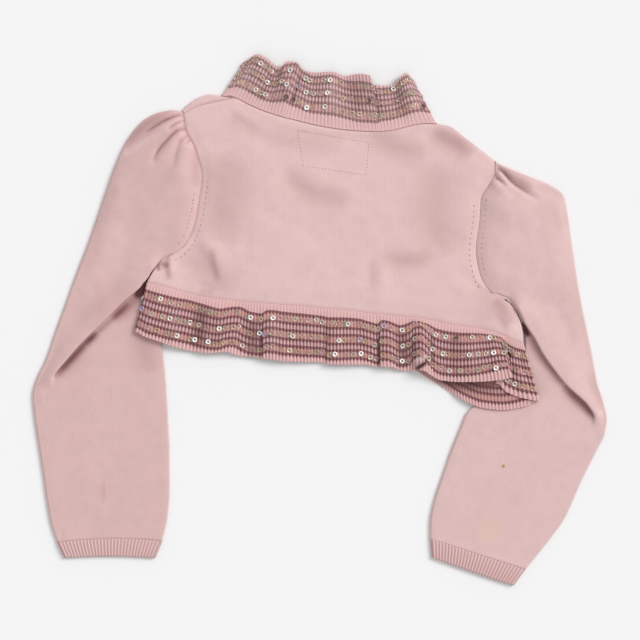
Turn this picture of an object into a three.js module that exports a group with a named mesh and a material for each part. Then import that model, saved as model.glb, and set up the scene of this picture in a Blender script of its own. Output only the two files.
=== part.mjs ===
// A child's cropped cardigan in fine knit, laid flat on its front with its back up.
// Millimetres, +Z up, the origin under the middle of the outline on the surface that it lies on.
import * as THREE from 'three';

// Cloth
const WALL = 1.4; // thickness of the knit
const LAYER = 1.8; // from the middle of one layer to the middle of the layer that lies on it
const FRONT_LEVEL = WALL / 2; // middle of the layer on the surface
const BACK_LEVEL = FRONT_LEVEL + LAYER;
const MIDDLE_LEVEL = (FRONT_LEVEL + BACK_LEVEL) / 2;
const SEAM_GAP = 0.45; // between two sewn pieces
const TURN = LAYER / 2; // radius of a fold's turn, at the middle of the wall
const TURN_STEPS = 4;

// Ribs of the trims and cuffs
const RIB_PITCH = 2.7;
const RIB_HEIGHT = 0.4;
const HIDDEN_PITCH = 8; // step along a trim where its ribs lie underneath

// Where the fronts meet, under the back
const LEFT_FRONT_EDGE = 8.2;
const RIGHT_FRONT_EDGE = 9.8;

// Flat sizes that set how finely the panels are divided
const BACK_SIZE = { width: 270, height: 140 };
const LEFT_FRONT_SIZE = { width: 130, height: 130 };
const RIGHT_FRONT_SIZE = { width: 140, height: 130 };

const table = (columns, rows) => {
  const names = columns.split(' ');
  return rows.map((row) => Object.fromEntries(names.map((name, i) => [name, row[i]])));
};

// Armhole seams from the shoulder down to the armpit
const LEFT_ARMHOLE = table('x y', [
  [-109.2, 166.2], [-107, 152], [-99, 135], [-94.2, 114],
  [-96, 98], [-100.5, 75], [-110, 57.5], [-126, 48.2],
]);
const RIGHT_ARMHOLE = table('x y', [
  [139.8, 126.6], [139.5, 117], [135, 108], [128.5, 96], [127.5, 80],
  [124.5, 56], [127.5, 37], [136, 22.5], [146, 16.3],
]);

// Body's side edges from the armpit to just above the hem trim
const LEFT_SIDE = table('x y', [[-126, 48.2], [-129.5, 43.5], [-134.5, 35.8]]);
const RIGHT_SIDE = table('x y', [[146, 16.3], [152.6, 11.8], [157.2, 4], [160, -3.5], [161.3, -11]]);

// Shoulders from the armhole towards the neck. The left front folds over its shoulder to the seam on the back.
const LEFT_SHOULDER_FOLD = table('x y', [[-109.2, 166.2], [-104.4, 171.2], [-96, 176.8], [-88, 178.9]]);
const LEFT_SHOULDER_SEAM = table('x y', [[-108.9, 164.9], [-100, 169.8], [-91, 172.6], [-80, 175]]);
const LEFT_SEAM_END = [-67.2, 177.1];
const RIGHT_SHOULDER = table('x y', [[139.4, 126.8], [127, 136.6], [114, 146.6], [104, 154]]);

// Ribbed trims. A row is one rib from the seam (sx, sy, sz) to the free edge (ex, ey, ez). bow lifts its
// middle, st and et turn the seam and the edge over by that height, and ribs is 1 where its face lies up.
const TRIM_COLUMNS = 'sx sy sz ex ey ez bow st et ribs';
const NECK_TRIM = table(TRIM_COLUMNS, [
  [LEFT_FRONT_EDGE, 121, 0.7, LEFT_FRONT_EDGE, 156, 0.7, 0, 0, 0, 0],
  [-20, 124, 0.7, -11, 159, 0.7, 0, 0, 0, 0],
  [-48, 138, 0.7, -31, 170, 0.7, 0, 0, 0, 0],
  [-66, 157, 0.7, -47, 189, 0.7, 0, 0, 0, 0],
  [-75, 173, 0.7, -55.5, 203, 0.7, 0, 0, 0, 0],
  [-77, 178.6, 0.7, -58, 207, 0.7, 0, 1.8, 1.8, 1],
  [-73, 179.4, 2.5, -54.5, 210.4, 2.9, 0, 0, 0, 1],
  [-67, 177.6, 2.5, -50, 212.4, 4.2, 0.4, 0, 0, 1],
  [-58, 173, 2.5, -42, 209, 4.6, 0.8, 0, 0, 1],
  [-48, 168.5, 2.5, -33, 202.6, 3.0, 0.6, 0, 0, 1],
  [-43.5, 166.7, 2.5, -29.3, 203.4, 3.6, 0.2, 0, 0, 1],
  [-38, 165, 2.5, -26, 206.6, 6.4, 0.4, 0, 0, 1],
  [-31, 162.8, 2.5, -18.5, 206, 6.6, 0.6, 0, 0, 1],
  [-27, 161.6, 2.5, -15.2, 202, 4.6, 0.4, 0, 0, 1],
  [-20, 160, 2.5, -11, 199.2, 2.8, 0, 0, 0, 1],
  [-8, 157, 2.5, -3, 198, 3.4, 0.4, 0, 0, 1],
  [8, 153.8, 2.5, 9, 198.6, 4.6, 0.6, 0, 0, 1],
  [22, 152, 2.5, 20, 195.4, 3.0, 0.2, 0, 0, 1],
  [36, 151, 2.5, 31, 196.8, 4.4, 0.6, 0, 0, 1],
  [45.5, 150.8, 2.5, 39.6, 195.4, 5.6, 0.8, 0, 0, 1],
  [48.5, 150.9, 2.5, 42.4, 188.4, 3.0, 0.2, 0, 0, 1],
  [56, 151.5, 2.5, 52, 187.6, 2.8, 0, 0, 0, 1],
  [66, 153.8, 2.5, 60, 189, 3.4, 0, 0, 0, 1],
  [75, 156, 2.5, 65, 195.4, 5.6, 0.4, 0, 0, 1],
  [84, 157.2, 2.5, 68.4, 197.4, 4.6, 0.4, 0, 0, 1],
  [91.6, 157, 2.5, 71.4, 195, 2.5, 0, -1.8, -1.8, 1],
  [88, 149, 0.7, 68, 190, 0.7, 0, 0, 0, 0],
  [80, 139, 0.7, 56, 179, 0.7, 0, 0, 0, 0],
  [62, 129, 0.7, 39, 166, 0.7, 0, 0, 0, 0],
  [38, 122.6, 0.7, 24, 159, 0.7, 0, 0, 0, 0],
  [RIGHT_FRONT_EDGE, 121, 0.7, RIGHT_FRONT_EDGE, 156, 0.7, 0, 0, 0, 0],
]);
const HEM_TRIM = table(TRIM_COLUMNS, [
  [LEFT_FRONT_EDGE, 10.5, 0.7, LEFT_FRONT_EDGE, -31, 0.7, 0, 0, 0, 0],
  [-30, 13.5, 0.7, -32, -28.5, 0.7, 0, 0, 0, 0],
  [-66, 17, 0.7, -70, -23, 0.7, 0, 0, 0, 0],
  [-98, 21.5, 0.7, -104, -19, 1.4, 0, 0, 0, 0],
  [-119, 26, 2.0, -122.5, -15, 4.4, 0.9, 0, 0, 0],
  [-130, 28.6, 4.3, -139, -10.5, 4.3, 0, 0, 0, 0],
  [-136.8, 29.8, 4.3, -146.8, -10, 4.3, 0, 1.8, 1.8, 1],
  [-130, 28.4, 6.1, -140, -13.6, 6.5, 0, 0, 0, 1],
  [-120, 25.6, 4.9, -129, -17.4, 6.6, 0.6, 0, 0, 1],
  [-107, 22, 2.9, -116, -21.8, 5.2, 0.5, 0, 0, 1],
  [-97, 19.6, 2.5, -103, -25, 3.0, 0.1, 0, 0, 1],
  [-85, 17.4, 2.5, -89, -26.8, 4.6, 0.6, 0, 0, 1],
  [-70, 15.6, 2.5, -74, -26, 4.8, 0.6, 0, 0, 1],
  [-61, 14.8, 2.5, -66, -28.6, 3.0, 0, 0, 0, 1],
  [-49, 13.8, 2.5, -49.5, -30.6, 2.9, -0.2, 0, 0, 1],
  [-45.5, 13.5, 2.5, -46, -31, 4.6, 0.5, 0, 0, 1],
  [-30, 12.3, 2.5, -31, -33, 5.0, 0.8, 0, 0, 1],
  [-12, 11, 2.5, -11, -33.8, 3.8, 0.4, 0, 0, 1],
  [3, 9.5, 2.5, 2, -34, 2.9, 0, 0, 0, 1],
  [7.5, 9.2, 2.5, 7, -35.6, 4.6, 0.4, 0, 0, 1],
  [22, 8, 2.5, 22, -36, 4.8, 0.8, 0, 0, 1],
  [36, 6.2, 2.5, 37, -36, 3.6, 0.2, 0, 0, 1],
  [45, 5, 2.5, 46, -37.8, 2.9, -0.2, 0, 0, 1],
  [49.5, 4.6, 2.5, 49.5, -37.6, 5.6, 0.8, 0, 0, 1],
  [57, 4, 2.5, 57.5, -37.8, 5.2, 0.6, 0, 0, 1],
  [61.5, 3.6, 2.5, 62, -40, 3.1, 0, 0, 0, 1],
  [71, 2.8, 2.5, 72, -41, 3.0, 0, 0, 0, 1],
  [76, 2.2, 2.5, 76.4, -40.2, 5.8, 0.6, 0, 0, 1],
  [82, 1.2, 2.5, 82, -40.6, 8.6, 1.6, 0, 0, 1],
  [89, -0.2, 2.5, 88.6, -44.6, 5.8, 1.0, 0, 0, 1],
  [98, -2, 2.5, 97, -48.6, 4.4, 0.3, 0, 0, 1],
  [112, -4.5, 2.5, 112, -49.8, 6.6, 0.8, 0, 0, 1],
  [126, -6.6, 3.0, 130, -49.4, 8.8, 1.4, 0, 0, 1],
  [138, -9.4, 4.2, 145, -47.8, 9.9, 1.8, 0, 0, 1],
  [144.5, -11.7, 5.0, 152.6, -46, 9.9, 1.6, 0, -1.7, 1],
  [148, -13, 5.6, 146, -48.4, 8.2, 0.6, 0, 0, 0],
  [149.4, -13.6, 5.9, 141.2, -51, 8.2, 0, 0, -2.1, 0],
  [151.4, -14.6, 6.1, 148.4, -57.6, 6.1, -0.5, 0, 0, 1],
  [156, -16.8, 6.1, 161, -62.4, 6.1, 0, 0, 0, 1],
  [161, -18.4, 6.1, 174, -65, 6.1, 0, -1.8, -1.8, 1],
  [156.4, -24.6, 4.3, 164, -69.4, 4.3, 0, 0, 0, 0],
  [141, -28.6, 3.0, 146, -72.2, 4.3, 0.9, 0, 0, 0],
  [127, -27.5, 1.0, 131, -70.8, 4.3, 0.9, 0, 0, 0],
  [111, -22, 0.7, 116, -65.2, 3.4, 0, 0, 0, 0],
  [96, -13, 0.7, 101, -55.6, 0.8, 0, 0, 0, 0],
  [81, -4, 0.7, 86, -46.6, 0.7, 0, 0, 0, 0],
  [66, 2.5, 0.7, 71, -38, 0.7, 0, 0, 0, 0],
  [40, 7.5, 0.7, 42, -33, 0.7, 0, 0, 0, 0],
  [RIGHT_FRONT_EDGE, 10.8, 0.7, RIGHT_FRONT_EDGE, -31, 0.7, 0, 0, 0, 0],
]);

// Sleeves. A row is one section from the outer edge (ox, oy) to the inner edge (ix, iy). armhole is how much
// of the armhole's curve it keeps, sag curves it and puff lifts the gathered head. The long tuck has its crease
// at the share crease of the width, folds over by turn degrees and goes back under by depth.
const SLEEVE_COLUMNS = 'ox oy ix iy armhole sag puff crease turn depth';
const LEFT_SLEEVE = table(SLEEVE_COLUMNS, [
  [-110.4, 167.2, -127.2, 49.4, 1, 0, 0, 0.97, 0, 0],
  [-118, 168, -127.9, 48.6, 0.9, 0, 2.6, 0.97, 0, 0],
  [-128, 166.5, -128.5, 47, 0.78, 0, 3.4, 0.97, 0, 0],
  [-137.5, 162.5, -129.6, 45.6, 0.66, 0, 3.4, 0.97, 0, 0],
  [-146, 155, -130.6, 44.2, 0.54, 0, 3.2, 0.97, 20, 0],
  [-155, 142, -131.7, 42.5, 0.4, 0, 2.8, 0.97, 60, 0],
  [-165, 119.5, -133, 40.5, 0.26, 0, 2.2, 0.97, 110, 0],
  [-174.5, 92, -134.4, 38.3, 0.12, 0, 1.4, 0.975, 160, 0],
  [-186, 59, -136.2, 35.4, 0, 0, 0.6, 0.975, 180, 5],
  [-194.5, 37, -139.6, 28.5, 0, 0, 0.2, 0.93, 180, 12],
  [-203, 13, -137, 14, 0, 0, 0, 0.68, 180, 15],
  [-211, -9, -131.5, -2, 0, 0, 0, 0.41, 180, 13],
  [-219, -32, -127, -16, 0, 0, 0, 0.21, 180, 6],
  [-226.5, -48, -124.7, -32, 0, 0, 0, 0.13, 130, 0],
  [-229.5, -60, -123.3, -46, 0, 0, 0, 0.12, 0, 0],
  [-228, -78, -122, -66, 0, 0, 0, 0.12, 0, 0],
  [-225, -98, -120.8, -88, 0, 0, 0, 0.12, 0, 0],
  [-221, -124, -120, -112, 0, 0, 0, 0.12, 0, 0],
  [-218, -146, -120, -136, 0, 0, 0, 0.12, 0, 0],
  [-214.8, -163, -121.5, -157, 0, 1, 0, 0.12, 0, 0],
  [-210, -177.4, -126, -176.4, 0, 2.4, 0, 0.12, 0, 0],
]);
const RIGHT_SLEEVE = table(SLEEVE_COLUMNS, [
  [141.4, 126.8, 147.5, 17.2, 1, 0, 0, 0.97, 0, 0],
  [155, 120, 149, 16.3, 0.9, 0, 2.2, 0.97, 0, 0],
  [171, 113.5, 151, 14.5, 0.76, 0, 3, 0.97, 0, 0],
  [185, 107.5, 153.6, 12.6, 0.62, 0, 3, 0.97, 20, 0],
  [194.5, 100, 155.3, 9.9, 0.48, 0, 2.8, 0.97, 60, 0],
  [198, 84, 156.8, 7.2, 0.34, 0, 2.2, 0.97, 110, 0],
  [201, 63, 158.4, 4.5, 0.2, 0, 1.4, 0.97, 160, 0],
  [204.5, 40, 160.3, -0.6, 0.08, 0, 0.6, 0.97, 180, 5],
  [208, 20, 162.2, -7.8, 0, 0, 0.2, 0.9, 180, 12],
  [212, 0, 163.8, -18, 0, 0, 0, 0.76, 180, 14],
  [217, -24, 158, -42, 0, 0, 0, 0.58, 180, 14],
  [222, -50, 143, -59, 0, 0, 0, 0.31, 180, 11],
  [227.4, -68, 128, -67, 0, 0, 0, 0.14, 180, 0],
  [229.5, -79, 118, -73.4, 0, 0, 0, 0.09, 110, 0],
  [228, -90, 112, -87, 0, 0, 0, 0.09, 0, 0],
  [221, -105, 105.5, -103, 0, 0, 0, 0.09, 0, 0],
  [210, -127, 98.5, -123, 0, 0, 0, 0.09, 0, 0],
  [196, -158, 90, -150, 0, 0, 0, 0.09, 0, 0],
  [184, -175, 88, -163, 0, 0, 0, 0.09, 0, 0],
  [164.4, -199.6, 88, -174.6, 0, 0, 0, 0.09, 0, 0],
]);

// Gathers of the sleeve heads: soft troughs from the armhole seam outwards
const GATHER_COLUMNS = 'x0 y0 x1 y1 x2 y2 width depth';
const LEFT_GATHERS = table(GATHER_COLUMNS, [
  [-110, 162, -129, 157, -156, 131, 4, 1.8],
  [-108, 152, -121, 147, -136, 123, 4, 2.2],
]);
const RIGHT_GATHERS = table(GATHER_COLUMNS, [
  [140, 123, 153, 108, 175, 95, 4, 1.8],
  [141, 114, 148, 109, 158, 102, 3.5, 1.2],
]);

// Cuffs: one row at the sleeve's end and one at the free edge
const CUFF_COLUMNS = 'ox oy ix iy sag';
const LEFT_CUFF = table(CUFF_COLUMNS, [
  [-209.9, -177.9, -126.1, -176.9, 2.4],
  [-204.2, -190, -131.6, -190, 1.4],
]);
const RIGHT_CUFF = table(CUFF_COLUMNS, [
  [164.1, -200, 87.9, -175.1, 0],
  [155.4, -212.2, 89, -189.2, 0.6],
]);
const CUFF_RIB_PITCH = 2.8;
const CUFF_SECTIONS = 2;

// Plain maths
const mix = (a, b, t) => a + (b - a) * t;
const mixPoint = (p, q, t) => p.map((v, i) => mix(v, q[i], t));
const ease = (t) => {
  const c = Math.min(Math.max(t, 0), 1);
  return c * c * (3 - 2 * c);
};
const steps = (from, to, count) => Array.from({ length: count + 1 }, (_, i) => mix(from, to, i / count));

// A smooth line through values, which never leaves the range of the two that it passes between
function smoothLine(places, values) {
  const gaps = places.slice(1).map((p, i) => p - places[i]);
  const slopes = gaps.map((gap, i) => (values[i + 1] - values[i]) / gap);
  const tangents = values.map((_, i) => {
    if (i === 0) return slopes[0];
    if (i === values.length - 1) return slopes[i - 1];
    const [a, b] = [slopes[i - 1], slopes[i]];
    return a * b <= 0 ? 0 : (2 * a * b) / (a + b);
  });
  return (place) => {
    let i = 0;
    while (i < gaps.length - 1 && place > places[i + 1]) i += 1;
    const t = (place - places[i]) / gaps[i];
    const rise = (values[i + 1] - values[i]) * t * t * (3 - 2 * t);
    return values[i] + rise + gaps[i] * t * (1 - t) * (tangents[i] * (1 - t) - tangents[i + 1] * t);
  };
}

// A smooth path through points, read at a share of its length
function smoothPath(points) {
  const lengths = [0];
  for (let i = 1; i < points.length; i += 1) {
    lengths.push(lengths[i - 1] + Math.hypot(...points[i].map((v, k) => v - points[i - 1][k])));
  }
  const lines = points[0].map((_, k) => smoothLine(lengths, points.map((p) => p[k])));
  return (share) => lines.map((line) => line(share * lengths.at(-1)));
}
const places = (rows) => rows.map((row) => [row.x, row.y]);
const flat = (path) => (share) => path(share).slice(0, 2);

// The closed wall of a piece of cloth. points lie on its middle, quads are counter-clockwise seen from its
// face, and a quad in ribbed gets a raised rib along its middle on that face.
function clothWall(points, quads, ribbed = new Set()) {
  const normals = points.map(() => new THREE.Vector3());
  const at = (i) => new THREE.Vector3(...points[i]);
  for (const [a, b, c, d] of quads) {
    const normal = at(c).sub(at(a)).cross(at(d).sub(at(b)));
    for (const i of [a, b, c, d]) normals[i].add(normal.clone().normalize());
  }
  normals.forEach((normal) => normal.normalize());
  const vertices = [];
  const triangles = [];
  const addVertex = (p) => vertices.push(p.x, p.y, Math.max(p.z, 0)) / 3 - 1;
  const face = points.map((_, i) => addVertex(at(i).addScaledVector(normals[i], WALL / 2)));
  const inside = points.map((_, i) => addVertex(at(i).addScaledVector(normals[i], -WALL / 2)));
  const crests = new Map();
  const key = (a, b) => (a < b ? `${a} ${b}` : `${b} ${a}`);
  const crest = (a, b) => {
    if (!crests.has(key(a, b))) {
      const up = normals[a].clone().add(normals[b]).normalize();
      const middle = at(a).add(at(b)).multiplyScalar(0.5);
      crests.set(key(a, b), addVertex(middle.addScaledVector(up, WALL / 2 + RIB_HEIGHT)));
    }
    return crests.get(key(a, b));
  };
  const addQuad = (a, b, c, d) => triangles.push(a, b, c, a, c, d);
  quads.forEach(([a, b, c, d], index) => {
    if (ribbed.has(index)) {
      const [low, high] = [crest(a, b), crest(d, c)];
      addQuad(face[a], low, high, face[d]);
      addQuad(low, face[b], face[c], high);
    } else {
      addQuad(face[a], face[b], face[c], face[d]);
    }
    addQuad(inside[d], inside[c], inside[b], inside[a]);
  });
  const uses = new Map();
  const eachEdge = (visit) => quads.forEach((quad) => quad.forEach((a, k) => visit(a, quad[(k + 1) % 4])));
  eachEdge((a, b) => uses.set(key(a, b), (uses.get(key(a, b)) ?? 0) + 1));
  eachEdge((a, b) => {
    if (uses.get(key(a, b)) > 1) return;
    const middle = crests.get(key(a, b));
    if (middle === undefined) {
      addQuad(face[b], face[a], inside[a], inside[b]);
    } else {
      triangles.push(face[b], middle, inside[b], middle, inside[a], inside[b], middle, face[a], inside[a]);
    }
  });
  const geometry = new THREE.BufferGeometry();
  geometry.setAttribute('position', new THREE.Float32BufferAttribute(vertices, 3));
  geometry.setIndex(triangles);
  return geometry;
}

// Quads of a grid of points kept column by column
function gridQuads(columns, rows) {
  const quads = [];
  for (let i = 0; i < columns - 1; i += 1) {
    for (let j = 0; j < rows - 1; j += 1) {
      quads.push([i * rows + j, (i + 1) * rows + j, (i + 1) * rows + j + 1, i * rows + j + 1]);
    }
  }
  return quads;
}

// Quads of a tube kept section by section, each a closed ring of points
function tubeQuads(sections, ring) {
  const quads = [];
  for (let i = 0; i < sections - 1; i += 1) {
    for (let j = 0; j < ring; j += 1) {
      const next = (j + 1) % ring;
      quads.push([i * ring + j, i * ring + next, (i + 1) * ring + next, (i + 1) * ring + j]);
    }
  }
  return quads;
}

// A trim's table becomes one smooth surface: along it by millimetres, across it from 0 (seam) to 1 (free edge)
function trimSurface(rows) {
  const lines = [];
  const firstLines = [];
  rows.forEach((row, index) => {
    const next = rows[index + 1] ?? row;
    const before = rows[index - 1] ?? row;
    firstLines.push(lines.length);
    if (row.st === 0 && row.et === 0) {
      lines.push(row);
      return;
    }
    const swing = (x, y, z, height, share) => {
      if (height === 0) return [x, y, z].map((name) => mix(row[name], next[name], share / 2));
      const away = new THREE.Vector2(row[x] - before[x], row[y] - before[y]).normalize();
      const angle = Math.PI * (share - 0.5);
      const reach = (Math.abs(height) / 2) * Math.cos(angle);
      const rise = (height * (1 + Math.sin(angle))) / 2;
      return [row[x] + away.x * reach, row[y] + away.y * reach, row[z] + rise];
    };
    for (const share of steps(0, 1, TURN_STEPS)) {
      const [sx, sy, sz] = swing('sx', 'sy', 'sz', row.st, share);
      const [ex, ey, ez] = swing('ex', 'ey', 'ez', row.et, share);
      lines.push({ ...row, sx, sy, sz, ex, ey, ez, ribs: share < 0.5 ? before.ribs : next.ribs });
    }
  });
  const lengths = [0];
  for (let i = 1; i < lines.length; i += 1) {
    const [a, b] = [lines[i - 1], lines[i]];
    const seam = Math.hypot(b.sx - a.sx, b.sy - a.sy, b.sz - a.sz);
    const edge = Math.hypot(b.ex - a.ex, b.ey - a.ey, b.ez - a.ez);
    lengths.push(lengths[i - 1] + (seam + edge) / 2);
  }
  const column = Object.fromEntries(
    TRIM_COLUMNS.split(' ').map((name) => [name, smoothLine(lengths, lines.map((line) => line[name]))]),
  );
  const point = (along, across) => {
    const value = (name) => column[name](along);
    const bow = value('bow') * 4 * across * (1 - across);
    return [
      mix(value('sx'), value('ex'), across),
      mix(value('sy'), value('ey'), across),
      mix(value('sz'), value('ez'), across) + bow,
    ];
  };
  const folds = lengths.filter((_, i) => lines[i].st !== 0);
  const sideFolds = [folds.slice(0, TURN_STEPS + 1), folds.slice(-TURN_STEPS - 1)];
  const rowPlaces = firstLines.map((line) => lengths[line]);
  return { point, length: lengths.at(-1), ribs: (along) => column.ribs(along) > 0.5, sideFolds, rowPlaces };
}

const neckTrim = trimSurface(NECK_TRIM);
const hemTrim = trimSurface(HEM_TRIM);

// A trim's closed wall. reversed says that its edge lies to the right of the way that it runs on top, so that its
// face, where the ribs stand, is the other side of the surface.
const TRIM_ACROSS = [0, 0.4, 1];
function trimGeometry(surface, reversed) {
  const along = [0];
  while (along.at(-1) < surface.length) {
    const here = along.at(-1);
    const nearRibs = [-HIDDEN_PITCH, 0, HIDDEN_PITCH].some((away) => surface.ribs(here + away));
    const pitch = nearRibs ? RIB_PITCH : HIDDEN_PITCH;
    along.push(here + pitch > surface.length - RIB_PITCH / 2 ? surface.length : here + pitch);
  }
  const rows = TRIM_ACROSS.length;
  const points = along.flatMap((s) => TRIM_ACROSS.map((t) => surface.point(s, t)));
  const quads = gridQuads(along.length, rows).map(([a, b, c, d]) => (reversed ? [b, a, d, c] : [a, b, c, d]));
  const ribbed = new Set();
  quads.forEach((_, index) => {
    const column = Math.floor(index / (rows - 1));
    const middle = (along[column] + along[column + 1]) / 2;
    if (surface.ribs(middle)) ribbed.add(index);
  });
  return clothWall(points, quads, ribbed);
}

// A point of a body panel between its hem, its neck and shoulders, and its two sides. Each boundary is a
// function of a share from 0 to 1 that gives [x, y]. The hem's third value is the panel's height there, which
// fades upwards but for edgeTurn, the part of it that belongs to the turn of a side.
const HEM_LIFT_REACH = 0.22;
function panelPoint({ hem, top, left, right, level }, u, v, edgeTurn) {
  const [h, t, l, r] = [hem(u), top(u), left(v), right(v)];
  const corners = [hem(0), hem(1), top(0), top(1)];
  const flat = [0, 1].map((k) => {
    const across = mix(h[k], t[k], v) + mix(l[k], r[k], u);
    const bilinear = mix(mix(corners[0][k], corners[1][k], u), mix(corners[2][k], corners[3][k], u), v);
    return across - bilinear;
  });
  return [...flat, level + (h[2] - level - edgeTurn) * ease(1 - v / HEM_LIFT_REACH)];
}

// The turn of a layer's edge towards the layer that it is sewn to: how far it drops at a distance from it
const EDGE_DISTANCES = [0.35, 0.6, 1.1, 3.5];
const edgeDrop = (distance) => (distance >= TURN ? 0 : TURN - Math.sqrt(TURN ** 2 - (TURN - distance) ** 2));

// Where a boundary is read: close together at an edge that turns, then evenly
function shares(count, length, turnsFirst, turnsLast) {
  const close = EDGE_DISTANCES.map((distance) => distance / length);
  const first = turnsFirst ? close : [0];
  const last = turnsLast ? close.map((share) => 1 - share).reverse() : [1];
  return [...first, ...steps(0, 1, count).slice(1, -1), ...last];
}

// Joins paths end to end; shares gives where each one ends
function chain(paths, ends) {
  return (share) => {
    const i = Math.max(0, ends.findIndex((end) => share <= end));
    const from = i === 0 ? 0 : ends[i - 1];
    return paths[i]((share - from) / (ends[i] - from));
  };
}
const straight = (from, to) => (share) => mixPoint(from, to, share);

// A stretch of a trim's seam, moved out to where the panel's edge lies; depth is the trim's from seam to edge
const HEM_DEPTH = 44;
const NECK_DEPTH = 40;
const HIDDEN_NECK_DEPTH = 15; // its short lines under the back leave a wider gap
const seamStretch = (surface, from, to, depth) => (share) => (
  surface.point(mix(from, to, share), -SEAM_GAP / depth)
);

// Places along a trim where the layer below ends and the layer above starts, beside a fold's outermost line
const SEAM_SHARE = 0.24;
const beforeFold = (fold) => mix(fold[1], fold[2], 1 - SEAM_SHARE);
const afterFold = (fold) => mix(fold[2], fold[3], SEAM_SHARE);
const [leftHemFold, rightHemFold] = hemTrim.sideFolds;
const [leftNeckFold, rightNeckFold] = neckTrim.sideFolds;

const sidePath = (corner, side) => smoothPath([corner.slice(0, 2), ...places(side).reverse()]);
const armholePath = (top, armhole) => smoothPath([...places(armhole).slice(1).reverse(), top]);
const ARMPIT = { left: 0.16, right: 0.26 }; // share of a side that lies below the armpit
const ARMPIT_FADE = 0.4; // share of that stretch over which its turned edge ends

// A panel's closed wall. turned says which sides are sewn edge to edge to the other layer, and up is 1 where
// the panel's edge turns up to meet it and -1 where it turns down.
function panelGrid(shape, { columns, rows, size, turned, up }) {
  const us = shares(columns, size.width, true, true);
  const vs = [...new Set([...shares(rows, size.height, false, true), ...shape.kinks])].sort((a, b) => a - b);
  const points = us.flatMap((u) => vs.map((v) => {
    const leftDrop = turned.left ? edgeDrop(u * size.width) : 0;
    const rightDrop = turned.right ? edgeDrop((1 - u) * size.width) : 0;
    const sideFade = (armpit) => ease((armpit - v) / (armpit * ARMPIT_FADE));
    const sideDrop = leftDrop * sideFade(ARMPIT.left) + rightDrop * sideFade(ARMPIT.right);
    const shoulderDrop = turned.shoulder(u) ? edgeDrop((1 - v) * size.height) : 0;
    const [x, y, z] = panelPoint(shape, u, v, up * (leftDrop + rightDrop));
    return [x, y, z + up * (sideDrop + shoulderDrop)];
  }));
  return { points, quads: gridQuads(us.length, vs.length), us, vs };
}

const LEFT_NECK_SHARE = 0.2; // of the back's top edge that is the left shoulder
const RIGHT_NECK_SHARE = 0.8;
const FRONT_SHOULDER_SHARE = 0.4;
const BACK_NECK_ROW = 7; // row of the neck trim where the back's neck edge starts, past the folded shoulder

function backGeometry() {
  const hem = seamStretch(hemTrim, afterFold(leftHemFold), beforeFold(rightHemFold), HEM_DEPTH);
  const neckFrom = neckTrim.rowPlaces[BACK_NECK_ROW];
  const neck = flat(seamStretch(neckTrim, neckFrom, beforeFold(rightNeckFold), NECK_DEPTH));
  const leftShoulder = smoothPath([...places(LEFT_SHOULDER_SEAM), neck(0)]);
  const rightShoulder = smoothPath([neck(1), ...places(RIGHT_SHOULDER).reverse()]);
  const top = chain([leftShoulder, neck, rightShoulder], [LEFT_NECK_SHARE, RIGHT_NECK_SHARE, 1]);
  const left = chain([sidePath(hem(0), LEFT_SIDE), armholePath(top(0), LEFT_ARMHOLE)], [ARMPIT.left, 1]);
  const right = chain([sidePath(hem(1), RIGHT_SIDE), armholePath(top(1), RIGHT_ARMHOLE)], [ARMPIT.right, 1]);
  const shape = { hem, top, left, right, level: BACK_LEVEL, kinks: [ARMPIT.left, ARMPIT.right] };
  const turned = { left: true, right: true, shoulder: (u) => u > RIGHT_NECK_SHARE };
  const { points, quads } = panelGrid(shape, { columns: 28, rows: 11, size: BACK_SIZE, turned, up: -1 });
  return clothWall(points, quads);
}

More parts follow.
